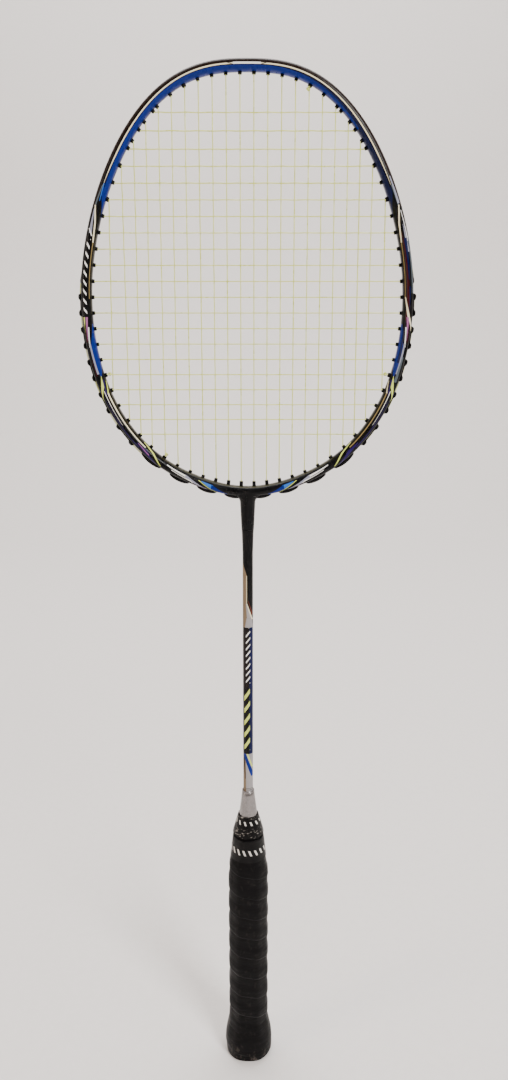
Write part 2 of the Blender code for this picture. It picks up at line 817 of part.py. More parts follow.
def make_cross_string(material):
    """All the crosses, laced from the right-hand end of the top one down to the throat."""
    points = []
    for number in range(1, CROSSES + 1):
        name = f"cross_{number}"
        depth = cross_depth(number)
        start = 1 if number % 2 else -1
        entry = through_hole(name, start, depth)[::-1]
        leave = through_hole(name, -start, depth)
        settle = Vector((-start * SETTLE_RUN, -depth, 0))
        points += entry
        points += [entry[1] + settle, leave[0] - Vector((settle.x, depth, 0))]
        points += leave
        if number < CROSSES:
            first, second = hole_turn(name, -start), hole_turn(f"cross_{number + 1}", -start)
            points += around_frame(*near_turns(first, second), -LANE)
    start, start_knot = tail(
        hole_turn("cross_1", 1), TAIL_HOLES["cross_start"], 1, -LANE, -SHARED_OFFSET
    )
    last = hole_turn(f"cross_{CROSSES}", -1)
    end, end_knot = tail(last, TAIL_HOLES["cross_end"], -1, -LANE, -SHARED_OFFSET)
    tube("cross_string", start[::-1] + points + end, start_knot, end_knot, material)


def main():
    clear_scene()
    lacquer = finish_material("frame_lacquer", (0.03, 0.10, 0.42), 0.25)
    resin = finish_material("insert_resin", (0.05, 0.05, 0.05), 0.6)
    silver = finish_material("shaft_lacquer", (0.55, 0.55, 0.56), 0.3, 0.6)
    satin = finish_material("cone_paint", (0.70, 0.70, 0.72), 0.35, 0.7)
    wood = finish_material("handle_wood", (0.62, 0.44, 0.26), 0.7)
    steel = finish_material("staple_steel", (0.6, 0.6, 0.6), 0.35, 1.0)
    grip = finish_material("base_grip_foam", (0.03, 0.03, 0.035), 0.8)
    wrap = finish_material("overgrip_film", (0.015, 0.015, 0.017), 0.6)
    tape = finish_material("tape_vinyl", (0.01, 0.01, 0.01), 0.4)
    plastic = finish_material("cap_plastic", (0.02, 0.02, 0.02), 0.5)
    plate = finish_material("disc_plastic", (0.5, 0.5, 0.52), 0.35)
    nylon = finish_material("grommet_nylon", (0.02, 0.02, 0.02), 0.45)
    gut = finish_material("string_nylon", (0.78, 0.80, 0.45), 0.35)

    drills = make_drills()
    make_head_frame(drills, lacquer)
    make_t_joint(drills, resin)
    make_shaft(silver)
    make_cone(satin)
    make_handle(wood, steel, grip, wrap, tape, plastic, plate)
    bores = make_bores()
    for name, holes in grommet_plan().items():
        make_grommets(name, holes, bores, nylon)
    make_main_string(gut)
    make_cross_string(gut)


main()
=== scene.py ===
# %% [markdown]
# # A badminton racket, finished for rendering
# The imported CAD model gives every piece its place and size. This lesson keeps the pieces whose
# shape is already right, and models again what a camera sees: the lacquered head, the grommets,
# the woven strings, the shaft, the cone, the tapes and the wound grip.

# %% Load the fixed frame
import math

import bpy
import numpy as np
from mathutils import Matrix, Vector, noise


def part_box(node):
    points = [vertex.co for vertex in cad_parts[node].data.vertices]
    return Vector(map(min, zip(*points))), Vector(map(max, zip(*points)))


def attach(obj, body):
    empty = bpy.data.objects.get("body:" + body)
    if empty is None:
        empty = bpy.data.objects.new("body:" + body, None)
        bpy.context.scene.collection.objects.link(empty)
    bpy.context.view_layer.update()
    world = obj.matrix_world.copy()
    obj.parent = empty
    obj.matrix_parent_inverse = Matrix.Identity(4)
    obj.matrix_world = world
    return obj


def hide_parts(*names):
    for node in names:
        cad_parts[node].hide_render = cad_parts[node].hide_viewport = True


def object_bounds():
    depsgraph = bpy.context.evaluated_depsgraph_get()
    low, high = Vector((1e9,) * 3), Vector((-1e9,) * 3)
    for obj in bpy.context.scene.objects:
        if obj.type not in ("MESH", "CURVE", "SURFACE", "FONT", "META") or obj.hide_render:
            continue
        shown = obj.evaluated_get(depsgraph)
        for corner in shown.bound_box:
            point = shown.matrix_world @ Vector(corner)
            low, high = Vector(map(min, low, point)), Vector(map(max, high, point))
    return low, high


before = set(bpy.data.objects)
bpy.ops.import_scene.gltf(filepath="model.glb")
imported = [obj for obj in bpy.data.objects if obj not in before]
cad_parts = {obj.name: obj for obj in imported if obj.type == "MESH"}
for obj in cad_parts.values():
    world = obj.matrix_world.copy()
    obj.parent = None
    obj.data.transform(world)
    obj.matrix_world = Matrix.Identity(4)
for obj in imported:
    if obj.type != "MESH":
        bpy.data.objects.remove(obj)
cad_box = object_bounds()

MM = 0.001
LENGTH = cad_box[1].z
print("CAD box", [round(v, 4) for corner in cad_box for v in corner])

# %% [markdown]
# ## Camera and studio
# The racket stands on its butt. The camera stands in front at a little above mid height and looks
# slightly down, so that the top of the head is seen from below and the butt from above. A real
# studio would use a paper sweep: a floor that curves up into a wall, so that no horizon shows.

# %% Camera
bpy.ops.object.select_all(action="DESELECT")
TILT = 0.2272
bpy.ops.object.camera_add(location=(0.00405, -0.4925, 0.5091), rotation=(math.pi / 2 - TILT, 0, 0))
camera = bpy.context.object
camera.data.sensor_fit = "VERTICAL"
camera.data.sensor_height = 36.0
camera.data.lens = 26.0
camera.data.clip_start = 0.01
bpy.context.scene.camera = camera


# %% A colour helper, a material helper and node helpers
def tone(red, green, blue):
    """A colour as a mixer would name it, from 0 to 255, made linear for the shader."""
    return [((c / 255 + 0.055) / 1.055) ** 2.4 if c > 10 else c / 255 / 12.92
            for c in (red, green, blue)] + [1.0]


class Finish:
    """A procedural material, with short ways to add and join its nodes."""

    def __init__(self, name, color, roughness, **sockets):
        self.material = bpy.data.materials.new(name)
        self.material.use_nodes = True
        self.tree = self.material.node_tree
        self.shader = self.tree.nodes["Principled BSDF"]
        self.shader.inputs["Base Color"].default_value = color
        self.shader.inputs["Roughness"].default_value = roughness
        for socket, value in sockets.items():
            self.shader.inputs[socket.replace("_", " ")].default_value = value

    def node(self, kind, **settings):
        made = self.tree.nodes.new(kind)
        for key, value in settings.items():
            setattr(made, key, value)
        return made

    def feed(self, socket, value):
        if isinstance(value, bpy.types.NodeSocket):
            self.tree.links.new(value, socket)
        else:
            socket.default_value = value

    def place(self, attribute=None):
        """The point being shaded: object coordinates, or a coordinate stored on the mesh."""
        if attribute:
            return self.node("ShaderNodeAttribute", attribute_name=attribute).outputs["Vector"]
        return self.node("ShaderNodeTexCoord").outputs["Object"]

    def split(self, vector):
        made = self.node("ShaderNodeSeparateXYZ")
        self.feed(made.inputs[0], vector)
        return made.outputs

    def math(self, operation, first, second=0.0, clamp=False):
        made = self.node("ShaderNodeMath", operation=operation, use_clamp=clamp)
        self.feed(made.inputs[0], first)
        self.feed(made.inputs[1], second)
        return made.outputs[0]

    def ramp(self, value, low, high, to_low=0.0, to_high=1.0):
        made = self.node("ShaderNodeMapRange")
        for socket, given in zip(made.inputs, (value, low, high, to_low, to_high)):
            self.feed(socket, given)
        return made.outputs[0]

    def noise(self, scale, detail=3.0, stretch=(1, 1, 1), vector=None):
        mapping = self.node("ShaderNodeMapping")
        self.feed(mapping.inputs["Vector"], vector or self.place())
        mapping.inputs["Scale"].default_value = stretch
        made = self.node("ShaderNodeTexNoise")
        made.inputs["Scale"].default_value = scale
        made.inputs["Detail"].default_value = detail
        self.tree.links.new(mapping.outputs[0], made.inputs["Vector"])
        return made.outputs[0]

    def cells(self, scale, feature="F1", vector=None):
        made = self.node("ShaderNodeTexVoronoi", feature=feature)
        made.inputs["Scale"].default_value = scale
        self.feed(made.inputs["Vector"], vector or self.place())
        return made.outputs[0]

    def mix(self, share, first, second):
        made = self.node("ShaderNodeMix", data_type="RGBA")
        self.feed(made.inputs[0], share)
        self.feed(made.inputs[6], first)
        self.feed(made.inputs[7], second)
        return made.outputs[2]

    def bump(self, height, strength, distance):
        made = self.node("ShaderNodeBump")
        made.inputs["Strength"].default_value = strength
        made.inputs["Distance"].default_value = distance
        self.tree.links.new(height, made.inputs["Height"])
        if self.shader.inputs["Normal"].is_linked:
            before = self.shader.inputs["Normal"].links[0].from_socket
            self.tree.links.new(before, made.inputs["Normal"])
        self.tree.links.new(made.outputs[0], self.shader.inputs["Normal"])

    def set(self, socket, value):
        self.feed(self.shader.inputs[socket], value)


# %% Paper sweep, lights and world
def deselect():
    if bpy.context.object and bpy.context.object.mode != "OBJECT":
        bpy.ops.object.mode_set(mode="OBJECT")
    bpy.ops.object.select_all(action="DESELECT")


paper = Finish("studio_paper", tone(226, 221, 218), 0.9)
paper_grain = paper.noise(140.0, 4.0)
paper.set("Base Color", paper.mix(paper_grain, tone(224, 219, 216), tone(230, 226, 223)))
paper.bump(paper_grain, 0.05, 0.0005)

deselect()
bpy.ops.mesh.primitive_plane_add(size=7.0, location=(0, -0.7, 0))
sweep = bpy.context.object
sweep.name = "studio_sweep"
bpy.ops.object.transform_apply(location=True)
back_edge = max(v.co.y for v in sweep.data.vertices)
for edge in sweep.data.edges:
    edge.select = all(sweep.data.vertices[i].co.y > back_edge - MM for i in edge.vertices)
for vertex in sweep.data.vertices:
    vertex.select = vertex.co.y > back_edge - MM
bpy.ops.object.mode_set(mode="EDIT")
bpy.ops.mesh.select_mode(type="EDGE")
bpy.ops.mesh.extrude_region_move(TRANSFORM_OT_translate={"value": (0, 0, 4.0)})
bpy.ops.object.mode_set(mode="OBJECT")
rounding = sweep.modifiers.new("rounding", "BEVEL")
rounding.width, rounding.segments = 1.2, 16
bpy.ops.object.modifier_apply(modifier=rounding.name)
bpy.ops.object.shade_smooth()
sweep.data.materials.append(paper.material)


def soft_light(name, place, aim, size, power, color=(1, 1, 1)):
    deselect()
    bpy.ops.object.light_add(type="AREA", location=place)
    light = bpy.context.object
    light.name = name
    light.rotation_euler = (Vector(aim) - Vector(place)).to_track_quat("-Z", "Y").to_euler()
    light.data.shape = "RECTANGLE"
    light.data.size, light.data.size_y = size
    light.data.energy = power
    light.data.color = color


soft_light("key", (1.0, -1.4, 1.7), (0, 0, 0.4), (0.6, 0.8), 54)
soft_light("fill", (-1.6, -0.8, 0.9), (0, 0, 0.4), (0.5, 1.2), 12, (1.0, 0.86, 0.72))
soft_light("top", (0.0, 0.5, 2.4), (0, 0, 0.3), (1.6, 1.0), 22)
soft_light("wall_wash", (0.0, 0.9, 3.2), (0, 2.7, 0.9), (3.0, 0.8), 100)
world = bpy.data.worlds.new("studio")
bpy.context.scene.world = world
world.use_nodes = True
world.node_tree.nodes["Background"].inputs["Color"].default_value = tone(236, 234, 233)
world.node_tree.nodes["Background"].inputs["Strength"].default_value = 0.45

# %% [markdown]
# ## The head's outline
# A racket head is bent from one tube round a former. Its outer edge here is a squared ellipse: the
# upper half is squarer than the lower, and the whole narrows slightly towards the top. Everything
# on the head, from paint to strings, is placed by its distance along that edge, its distance out
# from it and its depth in Y, so one function turns those three numbers into a point.

# %% Outline functions
HALF_WIDTH, TOP_HALF, THROAT_HALF, TAPER = 0.0991, 0.1157, 0.1332, -0.1365
TOP_SQUARENESS, THROAT_SQUARENESS = 2.634, 2.076
FRAME_WIDTH = 0.0054
SWELL, SWELL_REACH = 0.0016, 0.042


def outline(turn):
    """Points of the outer edge at angles from +X towards +Z."""
    turn = np.asarray(turn, float)
    c, s = np.cos(turn), np.sin(turn)
    square = np.where(s > 0, TOP_SQUARENESS, THROAT_SQUARENESS)
    half = np.where(s > 0, TOP_HALF, THROAT_HALF)
    x = HALF_WIDTH * (1 + TAPER * s) * np.sign(c) * np.abs(c) ** (2 / square)
    return np.stack([x, 0 * x, LENGTH - TOP_HALF + half * s], -1)


def outward(turn):
    """Directions square to the edge, away from the strings."""
    along = outline(np.asarray(turn) + 0.004) - outline(np.asarray(turn) - 0.004)
    across = np.stack([along[..., 2], 0 * along[..., 0], -along[..., 0]], -1)
    return across / np.linalg.norm(across, axis=-1, keepdims=True)


def swell(turn):
    """The tube is wider near the throat, on its outer side."""
    point = outline(turn)
    near = (point[..., 2] < LENGTH - TOP_HALF) & (np.abs(point[..., 0]) < SWELL_REACH)
    return np.where(near, SWELL * (0.5 + 0.5 * np.cos(np.pi * point[..., 0] / SWELL_REACH)), 0.0)


def groove(turn):
    """The outer groove is deep round the top and fades out half way down the sides."""
    share = np.clip((outline(turn)[..., 2] - 0.551) / 0.018, 0, 1)
    return 0.0005 + 0.0011 * share


def on_frame(turn, out, depth):
    point = outline(turn) + outward(turn) * np.asarray(out)[..., None]
    point[..., 1] += depth
    return point


TURNS = np.linspace(math.pi / 2, math.pi / 2 - 2 * math.pi, 5761)
STEPS = np.linalg.norm(np.diff(outline(TURNS), axis=0), axis=1)
RUN = np.concatenate([[0.0], np.cumsum(STEPS)])
ROUND = RUN[-1]


def turn_at(run):
    """The angle at a distance along the edge, clockwise from the middle of the top."""
    return np.interp(np.asarray(run) % ROUND, RUN, TURNS)


def run_of(turn):
    return np.interp(-((np.asarray(turn) - math.pi / 2) % (-2 * math.pi)), -TURNS + math.pi / 2, RUN)


print("outline", round(ROUND, 4), "m round")

# %% [markdown]
# ## The head frame
# The tube is not round: its outer side carries a groove that shelters the strings, its faces are
# nearly flat and its inner side is narrower. A torus has exactly the right topology for a closed
# tube, rings of vertices round a ring, so it is the start, and each of its rings is then moved to
# its station on the outline and given the tube's true section.

# %% Section of the tube, from the groove's floor over the front to the inner wall
# Distance out from the edge as a share of the groove, extra distance in, and depth, in mm.
HALF_SECTION = (
    (1.0, 0.0, 0.0), (1.0, 0.0, 1.2), (0.92, 0.0, 1.65), (0.5, 0.0, 1.85), (0.08, 0.0, 2.0),
    (0.0, 0.0, 2.25), (0.0, 0.04, 2.65), (0.0, 0.32, 3.45), (0.0, 0.95, 4.35), (0.0, 1.7, 4.9),
    (0.0, 2.5, 5.17), (0.0, 3.3, 5.17), (0.0, 4.2, 4.75), (0.0, 5.1, 3.9), (0.0, 5.7, 2.85),
    (0.0, 6.02, 1.7), (0.0, 6.1, 0.6),
)


def section(turn):
    """(out, depth) pairs right round the tube, one row for each angle."""
    share, inset, depth = (np.array(column) for column in zip(*HALF_SECTION))
    out = swell(turn)[:, None] - groove(turn)[:, None] * share - inset * MM
    out = np.concatenate([out, out[:, :0:-1]], axis=1)
    depth = np.concatenate([-depth, depth[:0:-1]]) * MM
    return out, np.broadcast_to(depth, out.shape)


def place(piece, points):
    """Moves every vertex of a piece."""
    piece.data.vertices.foreach_set("co", np.asarray(points, np.float32).ravel())
    piece.data.update()


def face_out(piece):
    deselect()
    piece.select_set(True)
    bpy.context.view_layer.objects.active = piece
    bpy.ops.object.mode_set(mode="EDIT")
    bpy.ops.mesh.select_all(action="SELECT")
    bpy.ops.mesh.remove_doubles(threshold=1e-6)
    bpy.ops.mesh.normals_make_consistent(inside=False)
    bpy.ops.object.mode_set(mode="OBJECT")


def smooth(piece, angle=35):
    deselect()
    piece.select_set(True)
    bpy.context.view_layer.objects.active = piece
    bpy.ops.object.shade_smooth_by_angle(angle=math.radians(angle))


STATIONS = 252
deselect()
bpy.ops.mesh.primitive_torus_add(
    major_segments=STATIONS, minor_segments=2 * len(HALF_SECTION) - 1,
    major_radius=0.1, minor_radius=0.005,
)
head = bpy.context.object
head.name = "lacquered_head"
stations = turn_at(ROUND * np.arange(STATIONS) / STATIONS)
out, depth = section(stations)
place(head, on_frame(stations[:, None].repeat(out.shape[1], 1), out, depth))
face_out(head)
print("head", len(head.data.vertices), "vertices")

def face_off_axis(piece):
    """A wound sheet has no inside, so one of its faces decides which way is out."""
    middle = piece.data.polygons[len(piece.data.polygons) // 2]
    if middle.normal.dot(Vector((middle.center.x, middle.center.y, 0))) < 0:
        bpy.ops.object.mode_set(mode="EDIT")
        bpy.ops.mesh.select_all(action="SELECT")
        bpy.ops.mesh.flip_normals()
        bpy.ops.object.mode_set(mode="OBJECT")


def thicken(piece, wall):
    thick = piece.modifiers.new("thickness", "SOLIDIFY")
    thick.thickness, thick.offset = wall, -1.0
    bpy.ops.object.modifier_apply(modifier=thick.name)


def finish_piece(piece, finish, node):
    piece.data.materials.append(finish.material)
    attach(piece, "root")
    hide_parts(node)


# %% [markdown]
# ## Turned pieces
# The neck, the shaft, the cone and the tapes are all bodies of revolution. On a lathe a turner
# reads a profile of widths along the length. The same is done here by hand tools: a circle is
# extruded upwards and scaled at each step of the profile.

# %% A lathe made of extrude and resize
def draw_up(name, profile, sides=48, squash=None, closed=False):
    """Extrudes a circle through (radius, height) pairs. closed makes a tube whose profile ends
    where it began, and otherwise the two ends are filled. squash gives depth for each radius."""
    deselect()
    radius, height = profile[0]
    bpy.ops.mesh.primitive_circle_add(
        vertices=sides, radius=radius, fill_type="NOTHING" if closed else "NGON",
        location=(0, 0, height),
    )
    piece = bpy.context.object
    piece.name = name
    bpy.ops.object.transform_apply(location=True)
    flat = squash or [1.0] * len(profile)
    bpy.ops.object.mode_set(mode="EDIT")
    bpy.ops.mesh.select_all(action="SELECT")
    bpy.ops.transform.resize(value=(1, flat[0], 1), center_override=(0, 0, height))
    for step in range(1, len(profile)):
        wide, tall = profile[step]
        if closed:
            bpy.ops.mesh.extrude_edges_move(TRANSFORM_OT_translate={"value": (0, 0, tall - height)})
        else:
            bpy.ops.mesh.extrude_region_move(
                TRANSFORM_OT_translate={"value": (0, 0, tall - height)})
        grow = wide / radius
        bpy.ops.transform.resize(
            value=(grow, grow * flat[step] / flat[step - 1], 1), center_override=(0, 0, tall))
        radius, height = wide, tall
    if closed:
        bpy.ops.mesh.select_all(action="DESELECT")
        bpy.ops.mesh.select_non_manifold()
        bpy.ops.mesh.bridge_edge_loops()
    bpy.ops.object.mode_set(mode="OBJECT")
    face_out(piece)
    return piece


# %% The neck, joined to the head
NECK_LOW = 0.4025
neck = draw_up(
    "neck",
    [(0.0040, NECK_LOW), (0.00405, NECK_LOW + 0.0003), (0.0045, 0.4120), (0.00495, 0.4208),
     (0.0054, 0.4220), (0.0061, 0.4230), (0.0071, 0.4239), (0.0084, 0.4247), (0.0099, 0.4256),
     (0.0120, 0.4284)],
    squash=[1.0, 1.0, 0.98, 0.965, 0.90, 0.80, 0.69, 0.585, 0.5, 0.41],
)
joining = head.modifiers.new("joining", "BOOLEAN")
joining.operation, joining.solver, joining.object = "UNION", "EXACT", neck
deselect()
head.select_set(True)
bpy.context.view_layer.objects.active = head
bpy.ops.object.modifier_apply(modifier=joining.name)
bpy.data.objects.remove(neck, do_unlink=True)
smooth(head)
print("head and neck", len(head.data.polygons), "faces")


# %% [markdown]
# ## Where the paint goes
# A masked paint job follows the tube, so the paint needs two coordinates that follow it too: how
# far along the head from the top, and how far round the section from the outer rim, past the front
# face and onto the inner wall. A third number says left or right of the face that is looked at,
# because one side carries a panel that the other does not, and because the right side gets darker
# copies of some colours as painted shade.

# %% Store the paint coordinates on the head
def points_of(piece):
    points = np.empty(len(piece.data.vertices) * 3)
    piece.data.vertices.foreach_get("co", points)
    return points.reshape(-1, 3)


def paint_coordinates(points):
    sample = turn_at(ROUND * np.arange(2520) / 2520)
    edge = outline(sample)
    gaps = np.hypot(points[:, None, 0] - edge[None, :, 0], points[:, None, 2] - edge[None, :, 2])
    nearest = gaps.argmin(1)
    turn = sample[nearest]
    offset = points - edge[nearest]
    out = (offset * outward(turn)).sum(1) - swell(turn)
    along = run_of(turn)
    along = np.minimum(along, ROUND - along)
    corner = np.array([(-inset, depth) for share, inset, depth in HALF_SECTION[5:]])
    reach = np.concatenate([[0], np.cumsum(np.linalg.norm(np.diff(corner, axis=0), axis=1))])
    here = np.stack([out / MM, np.abs(points[:, 1]) / MM], -1)
    best = np.full(len(points), 1e9)
    across = np.zeros(len(points))
    for first, second, start in zip(corner, corner[1:], reach):
        way = second - first
        share = np.clip(((here - first) @ way) / (way @ way), 0, 1)
        gap = np.linalg.norm(here - first - share[:, None] * way, axis=1)
        closer = gap < best
        best[closer] = gap[closer]
        across[closer] = (start + share * np.linalg.norm(way))[closer]
    outside = (np.abs(points[:, 1]) < 2.1 * MM) & (out > -0.0025)
    across[outside] = -1.0
    across[out > 0.0004] = -2.0
    side = np.sign(points[:, 0]) * np.where(points[:, 1] < 0, 1.0, -1.0)
    return np.stack([along / MM, across, side], -1)


lay = paint_coordinates(points_of(head))
stored = head.data.attributes.new("lay", "FLOAT_VECTOR", "POINT")
stored.data.foreach_set("vector", lay.astype(np.float32).ravel())
print("paint runs", lay.min(0).round(1), "to", lay.max(0).round(1))


# %% [markdown]
# ## Streaks
# The decoration is built from long tapered streaks, each masked and sprayed over the last. One node
# group paints one streak: inside its start and end, and inside a half width about a line from one
# place across to another, it lays its colour on what is below. A table of streaks then reads like
# the painter's own list.

# %% The streak group
def streak_group():
    group = bpy.data.node_groups.new("paint_streak", "ShaderNodeTree")
    sockets = [("Below", "NodeSocketColor"), ("Paint", "NodeSocketColor")]
    sockets += [(name, "NodeSocketFloat") for name in (
        "Along", "Across", "Flank", "Start", "End", "From", "To", "Half start", "Half end", "Side")]
    for name, kind in sockets:
        group.interface.new_socket(name, in_out="INPUT", socket_type=kind)
    group.interface.new_socket("Color", in_out="OUTPUT", socket_type="NodeSocketColor")
    given = group.nodes.new("NodeGroupInput").outputs
    result = group.nodes.new("NodeGroupOutput").inputs

    def math_node(operation, first, second):
        made = group.nodes.new("ShaderNodeMath")
        made.operation = operation
        for socket, value in zip(made.inputs, (first, second)):
            if isinstance(value, bpy.types.NodeSocket):
                group.links.new(value, socket)
            else:
                socket.default_value = value
        return made.outputs[0]

    def range_node(values):
        made = group.nodes.new("ShaderNodeMapRange")
        for socket, value in zip(made.inputs, values):
            if isinstance(value, bpy.types.NodeSocket):
                group.links.new(value, socket)
            else:
                socket.default_value = value
        return made.outputs[0]

    along, across = given["Along"], given["Across"]
    centre = range_node((along, given["Start"], given["End"], given["From"], given["To"]))
    half = range_node((along, given["Start"], given["End"], given["Half start"], given["Half end"]))
    off = math_node("ABSOLUTE", math_node("SUBTRACT", across, centre), 0.0)
    cover = range_node((math_node("SUBTRACT", off, half), -0.07, 0.07, 1.0, 0.0))
    begun = range_node((math_node("SUBTRACT", along, given["Start"]), -0.1, 0.1, 0.0, 1.0))
    ended = range_node((math_node("SUBTRACT", along, given["End"]), -0.1, 0.1, 1.0, 0.0))
    flank = math_node("GREATER_THAN", math_node("MULTIPLY", given["Side"], given["Flank"]), -0.5)
    cover = math_node("MULTIPLY", math_node("MULTIPLY", cover, begun), ended)
    cover = math_node("MULTIPLY", cover, flank)
    blend = group.nodes.new("ShaderNodeMix")
    blend.data_type = "RGBA"
    group.links.new(cover, blend.inputs[0])
    group.links.new(given["Below"], blend.inputs[6])
    group.links.new(given["Paint"], blend.inputs[7])
    group.links.new(blend.outputs[2], result["Color"])
    return group


STREAK = streak_group()


def spray(finish, ground, along, across, flank, streaks):
    """Lays each streak of a list over the ground colour."""
    color = ground
    for paint, side, start, end, start_at, end_at, start_half, end_half in streaks:
        layer = finish.node("ShaderNodeGroup", node_tree=STREAK)
        values = (color, paint, along, across, flank, start, end, start_at, end_at,
                  start_half, end_half, side)
        for socket, value in zip(layer.inputs, values):
            finish.feed(socket, value)
        color = layer.outputs[0]
    return color


# %% Paints
BLACK, BROWN = tone(4, 4, 5), tone(26, 14, 9)
CREAM, WHITE = tone(238, 226, 190), tone(240, 238, 234)
# Navy is a real paint in the right-hand panel and on the shaft. It also stands in for the cobalt in painted
# shade on the right side of the head's blue band.
COBALT, NAVY_AND_SHADED_COBALT, SKY = tone(3, 30, 112), tone(4, 12, 56), tone(44, 104, 188)
LIME, OLIVE = tone(204, 216, 104), tone(46, 43, 24)
SILVER, PEWTER = tone(140, 141, 158), tone(78, 86, 92)
VIOLET, PINK, MAROON = tone(36, 20, 78), tone(150, 92, 138), tone(52, 9, 16)
GOLD = tone(138, 118, 76)
BOTH, LEFT, RIGHT = 0.0, -1.0, 1.0

